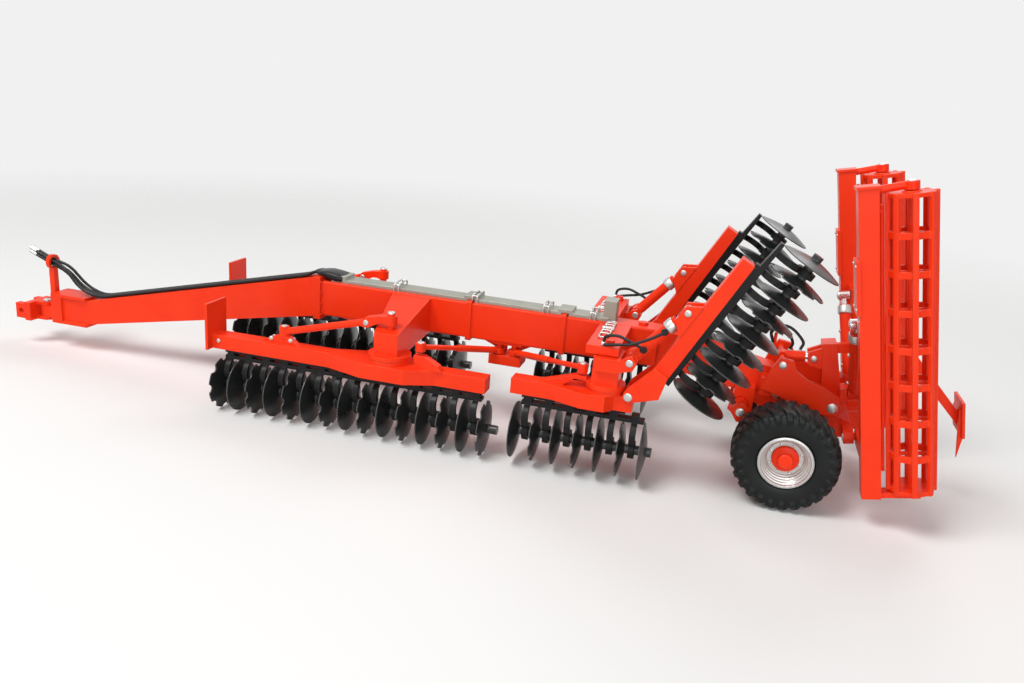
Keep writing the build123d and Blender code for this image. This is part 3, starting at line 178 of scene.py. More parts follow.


# Corner mask for the finishes: corners get a lighter colour, partly worn thin paint and partly a painted
# highlight.
def build_wear_and_highlight_edge():
    """Mask near corners: 1 minus the cosine between the bevelled and the true normal, times a gain."""
    group = bpy.data.node_groups.new("wear_and_highlight_edge", "ShaderNodeTree")
    socket(group, "Width", "INPUT", value=0.0004)
    socket(group, "Gain", "INPUT", value=6.0)
    socket(group, "Mask", "OUTPUT")
    socket(group, "Rounded", "OUTPUT", "NodeSocketVector")
    entry, leave = group.nodes.new("NodeGroupInput"), group.nodes.new("NodeGroupOutput")
    bevel = group.nodes.new("ShaderNodeBevel")
    bevel.samples = 4
    true_face = group.nodes.new("ShaderNodeNewGeometry")
    cosine = group.nodes.new("ShaderNodeVectorMath")
    cosine.operation = "DOT_PRODUCT"
    turned_away = group.nodes.new("ShaderNodeMath")
    turned_away.operation, turned_away.inputs[0].default_value = "SUBTRACT", 1.0
    gained = group.nodes.new("ShaderNodeMath")
    gained.operation, gained.use_clamp = "MULTIPLY", True
    group.links.new(entry.outputs["Width"], bevel.inputs["Radius"])
    group.links.new(bevel.outputs["Normal"], cosine.inputs[0])
    group.links.new(true_face.outputs["Normal"], cosine.inputs[1])
    group.links.new(cosine.outputs["Value"], turned_away.inputs[1])
    group.links.new(turned_away.outputs[0], gained.inputs[0])
    group.links.new(entry.outputs["Gain"], gained.inputs[1])
    group.links.new(gained.outputs[0], leave.inputs["Mask"])
    group.links.new(bevel.outputs["Normal"], leave.inputs["Rounded"])
    return group


def build_fine_grain():
    """Height of small bumps, from fine noise."""
    group = bpy.data.node_groups.new("fine_grain", "ShaderNodeTree")
    socket(group, "Scale", "INPUT", value=900.0)
    socket(group, "Height", "OUTPUT")
    entry, leave = group.nodes.new("NodeGroupInput"), group.nodes.new("NodeGroupOutput")
    noise = group_noise(group, entry, "Scale", 2.0)
    group.links.new(noise.outputs["Fac"], leave.inputs["Height"])
    return group


mottle, wear_and_highlight_edge, fine_grain = build_mottle(), build_wear_and_highlight_edge(), build_fine_grain()
print("groups:", mottle.name, wear_and_highlight_edge.name, fine_grain.name)

# %% [markdown]
# ## Finishes
# One table holds what sets the finishes apart: two colours that the mottle moves between, the
# colour of an edge, lighter for worn paint and as a painted highlight, the range of roughness,
# metal or not, a clear coat, and the grain.
# Vermilion paint is bright with a thin gloss coat, the discs are blackened steel, the
# rubber is dull, and the silver of tray and rims is metal paint rather than bare metal.

# %% Material table
FINISHES = {
    # name: (colour, second, edge, rough low, rough high, metal, specular, coat, mottle scale, grain, bump)
    "red_paint": ((0.86, 0.040, 0.006), (0.80, 0.031, 0.005), (0.92, 0.085, 0.022),
                  0.28, 0.42, 0.0, 0.16, 0.04, 90.0, 1400.0, 0.05),
    "disc_steel": ((0.010, 0.012, 0.012), (0.018, 0.020, 0.019), (0.12, 0.12, 0.115),
                   0.24, 0.40, 0.0, 0.50, 0.10, 160.0, 1600.0, 0.03),
    "black_frame": ((0.006, 0.006, 0.007), (0.011, 0.011, 0.011), (0.035, 0.035, 0.035),
                    0.30, 0.44, 0.0, 0.20, 0.0, 140.0, 1800.0, 0.06),
    "tyre_rubber": ((0.005, 0.006, 0.006), (0.010, 0.012, 0.011), (0.022, 0.023, 0.022),
                    0.38, 0.56, 0.0, 0.20, 0.0, 120.0, 2600.0, 0.10),
    "silver_metal": ((0.58, 0.58, 0.56), (0.48, 0.48, 0.46), (0.74, 0.73, 0.71),
                     0.26, 0.40, 0.70, 0.5, 0.0, 150.0, 2400.0, 0.08),
    "tray_silver": ((0.34, 0.34, 0.285), (0.28, 0.28, 0.235), (0.52, 0.52, 0.46),
                    0.36, 0.50, 0.35, 0.4, 0.0, 130.0, 2200.0, 0.08),
    "bright_rod": ((0.80, 0.80, 0.79), (0.70, 0.70, 0.69), (0.90, 0.90, 0.90),
                   0.12, 0.24, 0.95, 0.5, 0.0, 200.0, 3000.0, 0.03),
    "hose_black": ((0.006, 0.006, 0.007), (0.011, 0.011, 0.012), (0.025, 0.025, 0.025),
                   0.28, 0.40, 0.0, 0.30, 0.0, 180.0, 2600.0, 0.10),
}


def rgba(colour):
    return (*colour, 1.0)


def build_finish(name, colour, second, edge, rough_low, rough_high, metal, specular, coat,
                 scale, grain, bump):
    """Principled material whose colour and roughness follow the shared groups."""
    material = bpy.data.materials.new(name)
    material.use_nodes = True
    tree = material.node_tree
    shader = tree.nodes["Principled BSDF"]
    shader.inputs["Metallic"].default_value = metal
    shader.inputs["Specular IOR Level"].default_value = specular
    shader.inputs["Coat Weight"].default_value = coat
    shader.inputs["Coat Roughness"].default_value = 0.12
    uneven, corner, bumps = (tree.nodes.new("ShaderNodeGroup") for _ in range(3))
    uneven.node_tree, corner.node_tree, bumps.node_tree = mottle, wear_and_highlight_edge, fine_grain
    uneven.inputs["Scale"].default_value = scale
    corner.inputs["Width"].default_value = 0.00035
    corner.inputs["Gain"].default_value = 5.0
    bumps.inputs["Scale"].default_value = grain
    body_colour, edge_colour = tree.nodes.new("ShaderNodeMix"), tree.nodes.new("ShaderNodeMix")
    for mix in (body_colour, edge_colour):
        mix.data_type = "RGBA"
    body_colour.inputs[6].default_value, body_colour.inputs[7].default_value = rgba(colour), rgba(second)
    # Corners take the lighter edge colour: partly worn paint, partly a painted highlight.
    edge_colour.inputs[7].default_value = rgba(edge)
    tree.links.new(uneven.outputs["Mask"], body_colour.inputs[0])
    tree.links.new(body_colour.outputs[2], edge_colour.inputs[6])
    tree.links.new(corner.outputs["Mask"], edge_colour.inputs[0])
    tree.links.new(edge_colour.outputs[2], shader.inputs["Base Color"])
    roughness = tree.nodes.new("ShaderNodeMapRange")
    roughness.inputs["To Min"].default_value = rough_low
    roughness.inputs["To Max"].default_value = rough_high
    tree.links.new(uneven.outputs["Mask"], roughness.inputs["Value"])
    tree.links.new(roughness.outputs[0], shader.inputs["Roughness"])
    relief = tree.nodes.new("ShaderNodeBump")
    relief.inputs["Strength"].default_value = bump
    relief.inputs["Distance"].default_value = 0.0002
    tree.links.new(bumps.outputs["Height"], relief.inputs["Height"])
    tree.links.new(corner.outputs["Rounded"], relief.inputs["Normal"])
    tree.links.new(relief.outputs[0], shader.inputs["Normal"])
    return material


finishes = {name: build_finish(name, *row) for name, row in FINISHES.items()}
for part in record["subparts"]:
    mesh = nodes[part["node"]].data
    mesh.materials.clear()
    mesh.materials.append(
        finishes["tray_silver" if part["node"] == "cable_tray" else part["material_slot"]])
print(len(finishes), "finishes on", len(record["subparts"]), "nodes")

# %% [markdown]
# ## Floor
# The machine stands on a plain pale board. It is one large square, a stage piece rather than
# a part of the harrow, and it keeps the shadow that shows how the wheels carry the weight.
# Away from the machine it fades out, so that no far edge shows against the pale room.

# %% Floor
floor_mesh = bpy.data.meshes.new("floor")
half_floor = 4.0
floor_mesh.from_pydata([(-half_floor, -half_floor, 0), (half_floor, -half_floor, 0),
                        (half_floor, half_floor, 0), (-half_floor, half_floor, 0)], [], [(0, 1, 2, 3)])
floor = bpy.data.objects.new("floor", floor_mesh)
bpy.context.scene.collection.objects.link(floor)
floor_paint = bpy.data.materials.new("floor_paint")
floor_paint.use_nodes = True
tree = floor_paint.node_tree
board = tree.nodes["Principled BSDF"]
board.inputs["Base Color"].default_value = (0.78, 0.78, 0.77, 1.0)
board.inputs["Roughness"].default_value = 0.9
board.inputs["Specular IOR Level"].default_value = 0.1
spot, reach, fade = (tree.nodes.new(kind) for kind in ("ShaderNodeTexCoord", "ShaderNodeVectorMath",
                                                       "ShaderNodeMapRange"))
reach.operation, fade.interpolation_type = "LENGTH", "SMOOTHSTEP"
fade.inputs["From Min"].default_value, fade.inputs["From Max"].default_value = 0.28, 0.75
fade.inputs["To Min"].default_value, fade.inputs["To Max"].default_value = 1.0, 0.0
tree.links.new(spot.outputs["Object"], reach.inputs[0])
tree.links.new(reach.outputs["Value"], fade.inputs["Value"])
tree.links.new(fade.outputs[0], board.inputs["Alpha"])
floor_mesh.materials.append(floor_paint)
print("floor", 2 * half_floor, "m square")

# %% [markdown]
# ## Shapes as arrays
# Every added piece is a surface of two parameters. A turned shape is a profile of radius and
# height swung round an axis. A carried shape is a circle moved along a path. Both give a grid
# of points, and the same grid of faces joins them. Several shapes are put in one mesh, so that
# all the pin heads of a gang, say, are one piece.

# %% Grids, turned shapes and carried tubes
def square_pair(axis):
    """The axis at unit length, and two unit directions square to it and to each other."""
    axis = np.array(axis, float) / np.linalg.norm(axis)
    helper = np.eye(3)[np.argmin(np.abs(axis))]
    first = np.cross(axis, helper)
    first = first / np.linalg.norm(first)
    return axis, first, np.cross(axis, first)


def grid_faces(rows, columns, closed_rows=False):
    """Quads of a grid whose columns wrap round: each joins its corner, right, upper right and upper."""
    row, column = np.meshgrid(np.arange(rows if closed_rows else rows - 1), np.arange(columns),
                              indexing="ij")
    row, column = row.ravel(), column.ravel()
    above, beside = (row + 1) % rows, (column + 1) % columns
    return np.stack([row * columns + column, row * columns + beside,
                     above * columns + beside, above * columns + column], axis=1)


def turned(profile, centre, axis, steps=20, closed=False):
    """Surface of revolution: centre + height * axis + radius * (cos(a) * u + sin(a) * v)."""
    axis, u, v = square_pair(axis)
    radius, height = np.array(profile, float).T * MM
    angle = np.linspace(0, 2 * pi, steps, endpoint=False)
    ring = np.cos(angle)[:, None] * u + np.sin(angle)[:, None] * v
    points = np.array(centre) + height[:, None, None] * axis + radius[:, None, None] * ring
    return points.reshape(-1, 3), grid_faces(len(profile), steps, closed)


def smooth_path(corners, count):
    """Catmull-Rom curve through the corners: each span is a cubic of its four nearest corners."""
    corners = np.array(corners, float)
    ends = np.vstack([2 * corners[0] - corners[1], corners, 2 * corners[-1] - corners[-2]])
    place = np.linspace(0, len(corners) - 1 - 1e-9, count)
    span, t = place.astype(int), (place % 1)[:, None]
    a, b, c, d = (ends[span + step] for step in range(4))
    return 0.5 * (2 * b + (c - a) * t + (2 * a - 5 * b + 4 * c - d) * t ** 2
                  + (3 * b - a - 3 * c + d) * t ** 3)


def carried(path, radius, steps=10, flat=(0.0, 1.0, 0.0)):
    """Tube: a circle of the radius in the plane square to the path, closed by its end points.

    The circle's first direction is the flat one with its part along the path taken away.
    """
    path = np.array(path, float)
    along = np.gradient(path, axis=0)
    along = along / np.linalg.norm(along, axis=1)[:, None]
    first = np.array(flat) - (along @ np.array(flat))[:, None] * along
    first = first / np.linalg.norm(first, axis=1)[:, None]
    second = np.cross(along, first)
    angle = np.linspace(0, 2 * pi, steps, endpoint=False)
    ring = (np.cos(angle)[None, :, None] * first[:, None, :]
            + np.sin(angle)[None, :, None] * second[:, None, :])
    points = path[:, None, :] + radius * MM * ring
    points = np.vstack([np.repeat(path[:1], steps, axis=0)[None], points,
                        np.repeat(path[-1:], steps, axis=0)[None]])
    return points.reshape(-1, 3), grid_faces(len(path) + 2, steps)


def new_piece(name, shapes, body, slot, sharp=35.0):
    """One welded mesh from several shapes, with outward faces, that rides on a body."""
    offset, points, faces = 0, [], []
    for shape_points, shape_faces in shapes:
        points.append(shape_points)
        faces.append(shape_faces + offset)
        offset += len(shape_points)
    mesh = bpy.data.meshes.new(name)
    mesh.from_pydata(np.vstack(points).tolist(), [], np.vstack(faces).tolist())
    weld_and_turn_out(mesh)
    mesh.shade_smooth()
    mesh.set_sharp_from_angle(angle=radians(sharp))
    mesh.materials.append(finishes[slot])
    piece = bpy.data.objects.new(name, mesh)
    bpy.context.scene.collection.objects.link(piece)
    if body is not None:
        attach(piece, body)
    return piece


def weld_and_turn_out(mesh):
    """Merges the points that meet at seams and poles, and turns every face outwards."""
    work = bmesh.new()
    work.from_mesh(mesh)
    bmesh.ops.remove_doubles(work, verts=work.verts, dist=1e-7)
    bmesh.ops.recalc_face_normals(work, faces=work.faces)
    work.to_mesh(mesh)
    work.free()


def place_of(joint):
    return np.array(joints[joint]["pos_m"])


SIDES = (("left", -1), ("right", 1))
print("shape functions ready")

# %% [markdown]
# ## Tyres
# The tyre is a wide flotation tyre: smooth sidewalls, and slanted lugs that start at the
# middle of the tread and run over the shoulder. Its section is a smooth curve, swung round the
# axle. The lugs are a height added along the section's own normal: a cosine round the tyre,
# slanted by the distance from the middle, cut off steeply and faded out on the sidewall.

# %% Lugged tyres
TYRE_SECTION = ((-6.0, 8.5), (-6.9, 9.3), (-7.3, 11.4), (-7.2, 13.6), (-6.5, 15.3), (-4.6, 16.1),
                (0.0, 16.3), (4.6, 16.1), (6.5, 15.3), (7.2, 13.6), (7.3, 11.4), (6.9, 9.3), (6.0, 8.5))
LUGS, LUG_HEIGHT, LUG_SLANT = 26, 0.68, 1.3
SECTION_POINTS, ROUND_POINTS = 61, 26 * 16


def lugged_tyre(centre, outward):
    """Tyre surface: section point + lug * normal, turned about Y.

    lug = height * clip(4 * (cos(LUGS * a + slant * |y|) + 0.15)) * fade, half a lug apart on the two sides.
    """
    section = smooth_path(TYRE_SECTION, SECTION_POINTS)
    slope = np.gradient(section, axis=0)
    normal = np.stack([-slope[:, 1], slope[:, 0]], axis=1) / np.linalg.norm(slope, axis=1)[:, None]
    y, radius = section.T
    angle = np.linspace(0, 2 * pi, ROUND_POINTS, endpoint=False)
    phase = LUGS * angle[None, :] + (LUG_SLANT * np.abs(y) / 2 + np.where(y > 0, pi, 0.0))[:, None]
    lug = np.clip(4 * (np.cos(phase) + 0.15), 0, 1)
    fade = np.clip((radius - 13.0) / 1.2, 0, 1) * np.clip((np.abs(y) - 0.4) / 0.6, 0, 1)
    raised = LUG_HEIGHT * lug * fade[:, None]
    across = (y[:, None] + raised * normal[:, :1]) * outward
    reach = radius[:, None] + raised * normal[:, 1:]
    points = np.stack([reach * np.cos(angle), across, reach * np.sin(angle)], axis=2) * MM + centre
    return points.reshape(-1, 3), grid_faces(SECTION_POINTS, ROUND_POINTS, True)


for side, s in SIDES:
    tyre = new_piece(f"lugged_tyre_{side}", [lugged_tyre(place_of(f"wheel_{side}_spin"), s)],
                     f"wheel_{side}", "tyre_rubber", sharp=50.0)
    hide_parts(f"tyre_{side}")
    print(tyre.name, len(tyre.data.polygons), "faces")

# %% [markdown]
# ## Wheel rims and hubs
# The silver rim is a dish with stepped rings, as a rolled rim has. In its middle sits a red hub
# cover with a raised cap, and round the cover stands a ring of eight bright studs.

# %% Rim steps, hub covers and studs
HUB_OFFSET = 2.8
HUB_PROFILE = ((0, -0.6), (4.25, -0.6), (4.25, 0.75), (4.05, 1.05), (2.75, 1.5), (2.4, 1.8), (2.35, 2.9),
               (2.05, 3.2), (0, 3.3))
RIM_STEPS = ((8.3, 4.0), (8.2, 4.45), (7.75, 4.45), (7.6, 4.2), (7.55, 3.4), (7.15, 3.25), (7.1, 2.45),
             (6.7, 2.3), (6.65, 1.5), (6.25, 1.35), (6.2, 0.5), (5.75, 0.3), (5.6, 0.05), (5.6, -0.4),
             (6.6, -0.4), (7.6, 2.4))
STUD_PROFILE = ((0, -0.4), (0.42, -0.4), (0.42, 0.55), (0.30, 0.75), (0, 0.8))
STUDS, STUD_CIRCLE = 8, 5.0
for side, s in SIDES:
    hub = place_of(f"wheel_{side}_spin") + np.array((0, s * HUB_OFFSET * MM, 0))
    new_piece(f"hub_cover_{side}", [turned(HUB_PROFILE, hub, (0, s, 0), 40)], f"wheel_{side}", "red_paint")
    new_piece(f"rim_steps_{side}", [turned(RIM_STEPS, hub, (0, s, 0), 96, closed=True)], f"wheel_{side}",
              "silver_metal", sharp=50.0)
    turns = [2 * pi * (index + 0.5) / STUDS for index in range(STUDS)]
    studs = [turned(STUD_PROFILE, hub + STUD_CIRCLE * MM * np.array((cos(a), 0, sin(a))), (0, s, 0), 12)
             for a in turns]
    new_piece(f"wheel_studs_{side}", studs, f"wheel_{side}", "bright_rod")
print("hub covers with", STUDS, "studs each")

# %% [markdown]
# ## Pins
# Bright pins hold every pivot of a cast model together, and their round heads are the light
# dots that show all over the red. Each body's heads are listed by place, direction and radius.

# %% Pin heads
def pin_head(place, axis, radius, height=0.45):
    """Domed head: a short wall, then a quarter of an ellipse up to the pole."""
    bend = np.linspace(0, pi / 2, 5)
    dome = [(radius * cos(a), height * (0.45 + 0.55 * sin(a))) for a in bend]
    return turned([(0, -0.5), (radius, -0.5)] + dome, place, axis, 18)


def both_ends(place, half, radius, height=0.45):
    """Heads on both ends of a pin along Y."""
    return [pin_head(place + np.array((0, s * half * MM, 0)), (0, s, 0), radius, height) for s in (-1, 1)]


ACROSS = np.array((0.0, 1.0, 0.0))
lean_up = np.array(joints["cage_left_spin"]["axis"])
lean_back = np.array(joints["roller_left_fold"]["axis"])
mount = place_of("roller_tilt")


def leaning(behind, y, above):
    """Place on the leaning rear unit, in millimetres behind and above its mount pin."""
    return mount + (behind * lean_back + y * ACROSS + above * lean_up) * MM


def shifted(place, x, y, z):
    return place + np.array((x, y, z)) * MM


heads = {"root": both_ends(mount, 12.2, 1.7) + both_ends(place_of("tilt_barrel_turn"), 12.2, 1.3),
         "mount": both_ends(leaning(-4.7, 0, 14.2), 2.9, 1.1),
         "hitch": [pin_head(shifted(place_of("hitch_swivel"), 0, 0, 4.5), (0, 0, 1), 1.5)],
         "axle": both_ends(place_of("axle_lift"), 16.8, 1.5)}
for side, s in SIDES:
    king, rear_king = place_of(f"front_gang_{side}_turn"), place_of(f"rear_gang_{side}_turn")
    hinge, base = place_of(f"wing_{side}_unfold"), place_of(f"wing_barrel_{side}_turn")
    along = np.array(joints[f"wing_rotor_{side}_spin"]["axis"])
    upward = np.cross(along, ACROSS)
    roller_y = s * 30.0
    heads[f"front_gang_{side}"] = (
        [pin_head(shifted(king, 0, 0, 15.5), (0, 0, 1), 1.3, 0.8),
         pin_head(shifted(king, -40.4, 0, 4.9), (0, 0, 1), 1.1)]
        + both_ends(shifted(king, -8.6, 0, 11.3), 1.6, 1.0)
        + both_ends(shifted(king, -45.0, 0, 0.0), 1.2, 0.8)
        + both_ends(shifted(king, -37.4, 0, 0.1), 1.2, 0.8)
        + both_ends(shifted(king, -65.2, 0, -3.6), 3.0, 0.8))
    heads[f"front_tie_rod_{side}"] = [pin_head(shifted(king, 12.0, s * 2.4, 7.6), (0, 0, 1), 1.2)]
    heads[f"rear_tie_rod_{side}"] = [pin_head(shifted(rear_king, -8.0, 0, -4.7), (0, 0, 1), 1.2)]
    heads[f"rear_gang_{side}"] = both_ends(base, 6.1, 1.2) + both_ends(hinge, 5.0, 1.4)
    heads[f"wing_{side}"] = both_ends(hinge + (33.0 * along + 1.6 * upward) * MM, 3.3, 1.1)
    heads[f"fold_rod_{side}"] = [pin_head(leaning(5.1, s * 20.4, 30.2), -lean_back, 1.2)]
    heads["mount"] += [pin_head(leaning(12.5, s * 15.2, -8.6), lean_back, 1.7),
                       pin_head(leaning(9.5, s * 8.0, 3.4), lean_back, 1.2),
                       pin_head(leaning(2.9, s * 15.2, -8.6), -lean_back, 1.2)]
    heads[f"roller_{side}"] = [pin_head(leaning(10.8, s * 20.4, 30.2), lean_back, 1.1),
                               pin_head(leaning(20.9, roller_y, 73.4), lean_up, 1.3)]
    heads[f"roller_{side}"] += [pin_head(leaning(5.7, roller_y + y, above), -lean_back, 0.55, 0.35)
                                for y in (-3.1, 3.1) for above in (37.6, 50.4)]
for body, shapes in heads.items():
    new_piece(f"pin_heads_{body}", shapes, body, "silver_metal")

# %% [markdown]
# ## Bolts and nuts
# The drawbar is bolted to the spine through two plates, and each gang turns on a flange with
# a ring of bolts. A hexagon is a turned shape with six steps, with a chamfer on its crown.

# %% Plate bolts and flange bolts
def hexagon(place, axis, radius, height):
    """Bolt head: a six-sided prism whose crown is drawn in by a chamfer."""
    profile = ((0, -0.3), (radius, -0.3), (radius, height * 0.75), (radius * 0.82, height), (0, height))
    return turned(profile, place, axis, 6)


beam_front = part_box("main_beam")[0][0] / MM
plate_bolts = []
for y in (-5.35, 5.35):
    for z in (33.0, 37.2, 41.4, 45.6):
        plate_bolts.append(hexagon(np.array((beam_front - 1.4, y, z)) * MM, (-1, 0, 0), 0.5, 0.55))
        plate_bolts.append(hexagon(np.array((beam_front + 1.4, y, z)) * MM, (1, 0, 0), 0.5, 0.55))
for side, s in SIDES:
    king = place_of(f"front_gang_{side}_turn")
    for index in range(12):
        a = 2 * pi * (index + 0.5) / 12
        if s * sin(a) > -0.6:
            continue
        plate_bolts.append(hexagon(shifted(king, 6.2 * cos(a), 6.2 * sin(a), 1.6), (0, 0, 1), 0.5, 0.5))
print(len(plate_bolts), "bolts on the frame")
new_piece("plate_bolts", plate_bolts, "root", "red_paint")

# %% [markdown]
# ## Cable tray
# A silver tray on the spine carries the hoses back. They dive under a black boot at its front
# end, four double wire clips hold them down, and at the rear two wire ladders lead over the
# outriggers to the wing cylinders.

# %% Boot, wire clips and hose ladders
def lofted(stations, steps=24, roundness=0.6):
    """Body through stations along X: y and z follow a superellipse, |cos| and |sin| to the roundness."""
    turn = np.linspace(0, 2 * pi, steps, endpoint=False)
    across = np.sign(np.cos(turn)) * np.abs(np.cos(turn)) ** roundness
    upward = np.sign(np.sin(turn)) * np.abs(np.sin(turn)) ** roundness
    rows = [np.stack([np.full(steps, x), half * across, base + height * (upward + 1) / 2], axis=1)
            for x, half, base, height in stations]
    return np.vstack(rows) * MM, grid_faces(len(stations), steps)


def wire(corners, radius=0.3, samples=30):
    """Bent wire through corners given in millimetres."""
    return carried(smooth_path(corners, samples) * MM, radius, 8)


boot = [(-46.6, 0.0, 48.0, 0.0), (-46.6, 2.8, 47.6, 1.4), (-44.6, 4.0, 47.5, 2.0), (-42.0, 4.5, 46.6, 3.2),
        (-38.4, 4.5, 45.9, 3.5), (-36.2, 4.3, 45.9, 3.1), (-35.7, 4.1, 45.9, 2.9), (-35.7, 0.0, 47.0, 0.0)]
new_piece("tray_boot", [lofted(boot)], "root", "hose_black")

clips = []
for x in (-13.5, 17.0, 43.5, 60.5):
    for step in (-0.9, 0.9):
        clips.append(wire([(x + step, -4.1, 45.7), (x + step, -4.15, 47.9), (x + step, -3.4, 48.7),
                           (x + step, 0, 48.8), (x + step, 3.4, 48.7), (x + step, 4.15, 47.9),
                           (x + step, 4.1, 45.7)]))
    for y in (-3.9, 3.9):
        clips.append(wire([(x - 1.2, y, 48.3), (x, y * 1.06, 48.5), (x + 1.2, y, 48.3)], samples=8))
new_piece("tray_clips", clips, "root", "silver_metal")

ladders = []
for side, s in SIDES:
    x = place_of(f"rear_gang_{side}_turn")[0] / MM - 3.4
    for inner, outer in ((5.0, 12.4), (14.2, 24.0)):
        ring = [(x - 1.4, s * inner, 46.5), (x - 1.4, s * outer, 46.5), (x, s * (outer + 0.9), 46.5),
                (x + 1.4, s * outer, 46.5), (x + 1.4, s * inner, 46.5), (x, s * (inner - 0.9), 46.5),
                (x - 1.4, s * inner, 46.5)]
        ladders.append(wire(ring, 0.32, 48))
        for fraction in (0.3, 0.7):
            y = s * (inner + fraction * (outer - inner))
            ladders.append(wire([(x - 1.6, y, 46.7), (x, y, 46.9), (x + 1.6, y, 46.7)], 0.3, 8))
    y = s * 13.3
    ladders.append(wire([(x - 2.0, y, 46.4), (x, y, 46.5), (x + 2.0, y, 46.4)], 0.7, 8))
new_piece("hose_ladders", ladders, "root", "silver_metal")
print(len(clips), "clip wires and", len(ladders), "ladder wires")

# %% [markdown]
# ## Cylinders
# The wing and fold cylinders have a bright gland nut where the rod comes out, and each cylinder has a
# pair of oil ports on its side; the wing ports carry ring fittings and two black hoses. The hoses of a
# wing cylinder start on the gang that carries it and end on the barrel, and stay fixed in place, riding on
# neither.

# %% Gland nuts, ports and hoses
GLAND_PROFILE = ((0, 0.0), (2.15, 0.0), (2.35, 0.25), (2.35, 2.6), (2.15, 2.9), (0, 2.9))


def ring_fitting(place, axis, radius=0.85, wire_radius=0.36):
    """Ring: a small circle swung round the axis, and the bolt through its middle."""
    turn = np.linspace(0, 2 * pi, 10, endpoint=False)
    section = [(radius + wire_radius * cos(a), wire_radius * sin(a)) for a in turn]
    return [turned(section, place, axis, 20, closed=True), hexagon(place, axis, 0.55, 0.6)]


def barrel_parts(base, push, gland_at, port_places, outward):
    """Gland nut along the barrel, and a stub at each port."""
    gland = turned(GLAND_PROFILE, base + gland_at * MM * push, push, 28)
    stubs = []
    for along_barrel in port_places:
        stubs.append(turned(((0, 0), (0.62, 0), (0.62, 2.35), (0, 2.35)),
                            base + along_barrel * MM * push, outward, 14))
    return gland, stubs


for side, s in SIDES:
    base, hinge = place_of(f"wing_barrel_{side}_turn"), place_of(f"wing_{side}_unfold")
    push = np.array(joints[f"wing_rod_{side}_slide"]["axis"])
    along = np.array(joints[f"wing_rotor_{side}_spin"]["axis"])
    pin = hinge + (33.0 * along + 1.6 * np.cross(along, ACROSS)) * MM
    reach = np.linalg.norm(pin - base) / MM
    out = np.array((0.0, s, 0.0))
    gland, stubs = barrel_parts(base, push, reach - 8.6, (5.3, 14.2), out)
    new_piece(f"wing_gland_{side}", [gland], f"wing_barrel_{side}", "silver_metal")
    fittings = stubs
    for along_barrel in (5.3, 14.2):
        fittings = fittings + ring_fitting(base + (along_barrel * push + 2.5 * out) * MM, out)
    new_piece(f"wing_ports_{side}", fittings, f"wing_barrel_{side}", "hose_black")
    clip = np.array((base[0] / MM - 9.4, s * 32.6, 46.7))
    low_port = (base + (5.3 * push + 2.6 * out) * MM) / MM
    high_port = (base + (14.2 * push + 2.6 * out) * MM) / MM
    for name, route in (("low", [clip, clip + (0.8, s * 0.5, 2.6), clip + (4.6, s * 0.8, 3.4),
                                 clip + (8.8, s * 0.9, 2.0), low_port + (-1.3, 0.2 * s, 0.9), low_port]),
                        ("high", [clip + (0.3, s * 1.0, -0.1), clip + (4.5, s * 1.5, 0.7),
                                  clip + (9.5, s * 1.6, 1.7),
                                  high_port + (-3.4, 0.5 * s, -2.2), high_port])):
        hose = new_piece(f"wing_hose_{name}_{side}", [wire(route, 0.5, 48)], None, "hose_black")
        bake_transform(hose)
    hose_clip = [turned(((0, -0.5), (0.9, -0.5), (0.9, 0.5), (0, 0.5)), clip * MM, (1, 0, 0), 14)]
    new_piece(f"hose_clip_{side}", hose_clip, f"rear_gang_{side}", "silver_metal")

    fold_base = place_of(f"fold_barrel_{side}_turn")
    fold_push = np.array(joints[f"fold_rod_{side}_slide"]["axis"])
    eye = leaning(7.0, s * 20.4, 30.2)
    fold_reach = np.linalg.norm(eye - fold_base) / MM
    gland, stubs = barrel_parts(fold_base, fold_push, fold_reach - 6.6, (5.0, 17.0), -lean_back)
    new_piece(f"fold_gland_{side}", [gland], f"fold_barrel_{side}", "silver_metal")
    new_piece(f"fold_ports_{side}", stubs, f"fold_barrel_{side}", "silver_metal")

tilt_base, tilt_push = place_of("tilt_barrel_turn"), np.array(joints["tilt_rod_slide"]["axis"])
new_piece("tilt_ports", [turned(((0, 0), (0.6, 0), (0.6, 2.3), (0, 2.3)), tilt_base + a * MM * tilt_push,
                                (0, 0, 1), 14) for a in (2.2, 5.6)], "tilt_barrel", "silver_metal")
print("glands, ports and hoses on five cylinders")

# %% [markdown]
# ## Carriage and rollers
# Over the carriage two short hoses loop from a post down to the tilt cylinder. Each crumbler
# cage is eight flat bars on a stack of eight-sided bands. The bands are short turned rings with
# eight steps, so that their flats lie between the bars, and each has two spokes through the
# shaft. The cage stands for the plainer one in the frame, and its bar tips show over the end.

# %% Carriage hoses and roller cages
post_foot = shifted(tilt_base, -3.0, 0.0, 1.2)
post = [turned(((0, 0), (1.0, 0), (1.0, 0.8), (0.55, 1.1), (0.55, 6.2), (0, 6.4)),
               post_foot, (0, 0, 1), 16)]
new_piece("hose_post", post, "root", "red_paint")
for name, y, ahead in (("front", -0.7, 2.2), ("rear", 0.7, 5.6)):
    top, port = post_foot / MM, tilt_base / MM + ahead * tilt_push + (0, 0, 2.3)
    route = [top + (-0.6, y, 3.0), top + (-1.6, y * 1.6, 6.4), top + (0.6, y * 2.2, 8.6),
             (top + port) / 2 + (0.6, y * 2.4, 7.2), port + (0.5, y * 1.2, 2.6), port]
    hose = new_piece(f"tilt_hose_{name}", [wire(route, 0.5, 48)], None, "hose_black")
    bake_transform(hose)

CAGE_BARS, CAGE_LOW, CAGE_TOP, CAGE_RINGS = 8, -20.0, 70.4, 9
BAR_RADIUS, BAND_RADIUS, SHAFT_RADIUS = 6.45, 6.75, 1.2


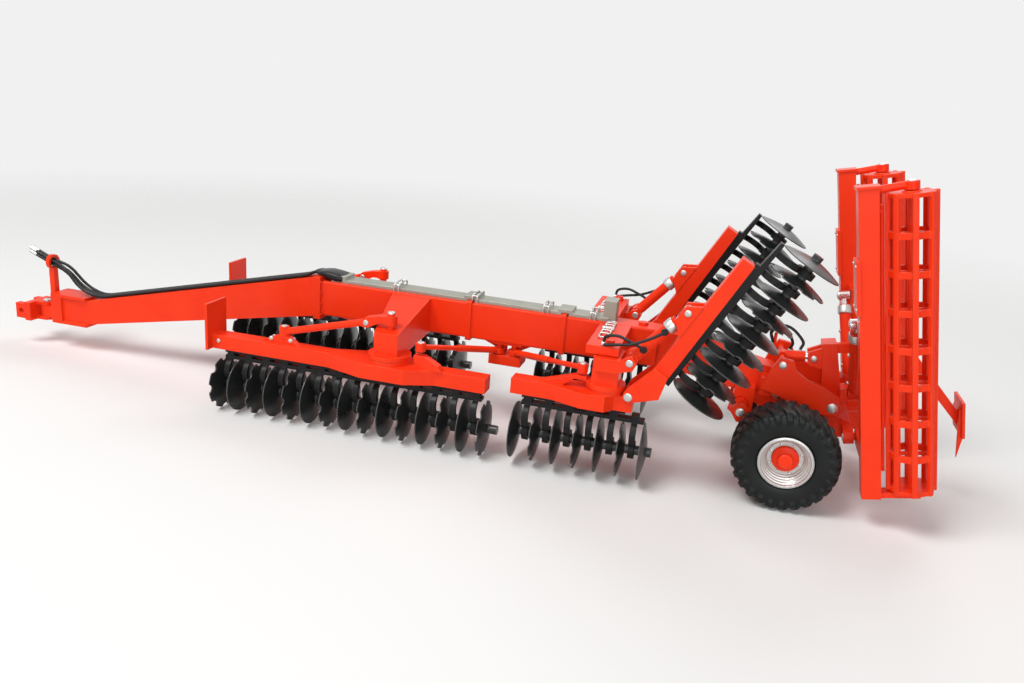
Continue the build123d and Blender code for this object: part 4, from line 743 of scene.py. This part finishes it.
def flat_bar(foot, top, across, width, depth, chamfer=0.12):
    """Flat bar from foot to top: a chamfered rectangle, width along across and depth square to both."""
    along = (top - foot) / np.linalg.norm(top - foot)
    outward = np.cross(along, across)
    w, d = width / 2, depth / 2
    section = [(w - chamfer, -d), (w, chamfer - d), (w, d - chamfer), (w - chamfer, d), (chamfer - w, d),
               (-w, d - chamfer), (-w, chamfer - d), (chamfer - w, -d)]
    outline = np.array([a * across + b * outward for a, b in section]) * MM
    rows = [np.repeat(foot[None], 8, axis=0), foot + outline, top + outline,
            np.repeat(top[None], 8, axis=0)]
    return np.vstack(rows), grid_faces(4, 8)


for side, s in SIDES:
    high, low = leaning(20.9, s * 30.0, CAGE_TOP), leaning(20.9, s * 30.0, CAGE_LOW)
    length = CAGE_TOP - CAGE_LOW
    cage = [turned(((0, 0), (SHAFT_RADIUS, 0), (SHAFT_RADIUS, length), (0, length)), low, lean_up, 16)]
    for index in range(CAGE_BARS):
        a = 2 * pi * index / CAGE_BARS
        outward = cos(a) * ACROSS + sin(a) * np.cross(lean_up, ACROSS)
        shift = BAR_RADIUS * MM * outward
        cage.append(flat_bar(low + shift, high + shift, np.cross(lean_up, outward), 1.6, 1.3))
        tip = ((0, -0.4), (0.75, -0.4), (0.75, 0.08), (0.55, 0.18), (0, 0.2))
        cage.append(turned(tip, high + shift, lean_up, 12))
    for index in range(CAGE_RINGS):
        closed = index in (0, CAGE_RINGS - 1)
        height = 0.6 + index * (length - 1.2) / (CAGE_RINGS - 1)
        middle = low + height * MM * lean_up
        if closed:
            plate = ((0, -0.6), (BAND_RADIUS, -0.6), (BAND_RADIUS, 0.6), (0, 0.6))
            cage.append(turned(plate, middle, lean_up, CAGE_BARS))
        else:
            band = ((5.7, -1.0), (BAND_RADIUS, -1.0), (BAND_RADIUS, 1.0), (5.7, 1.0))
            cage.append(turned(band, middle, lean_up, CAGE_BARS, closed=True))
            for spoke in (ACROSS, np.cross(lean_up, ACROSS)):
                cage.append(flat_bar(middle - 6.0 * MM * spoke, middle + 6.0 * MM * spoke, lean_up,
                                     0.9, 1.4))
    cage.append(turned(((2.6, -0.3), (2.6, 0.3), (1.4, 0.45), (1.4, -0.3)), high, lean_up, 24, closed=True))
    bars = new_piece(f"cage_bars_{side}", cage, f"cage_{side}", "red_paint", sharp=25.0)
    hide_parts(f"roller_cage_{side}")
    bracket = [hexagon(leaning(13.2 + step, s * 30.0 + y, -22.2), -lean_up, 0.5, 0.45)
               for step in (0.0, 5.5) for y in (-1.3, 1.3)]
    new_piece(f"bracket_bolts_{side}", bracket, f"roller_{side}", "silver_metal")

print("cages of", CAGE_BARS, "bars and", CAGE_RINGS, "bands")
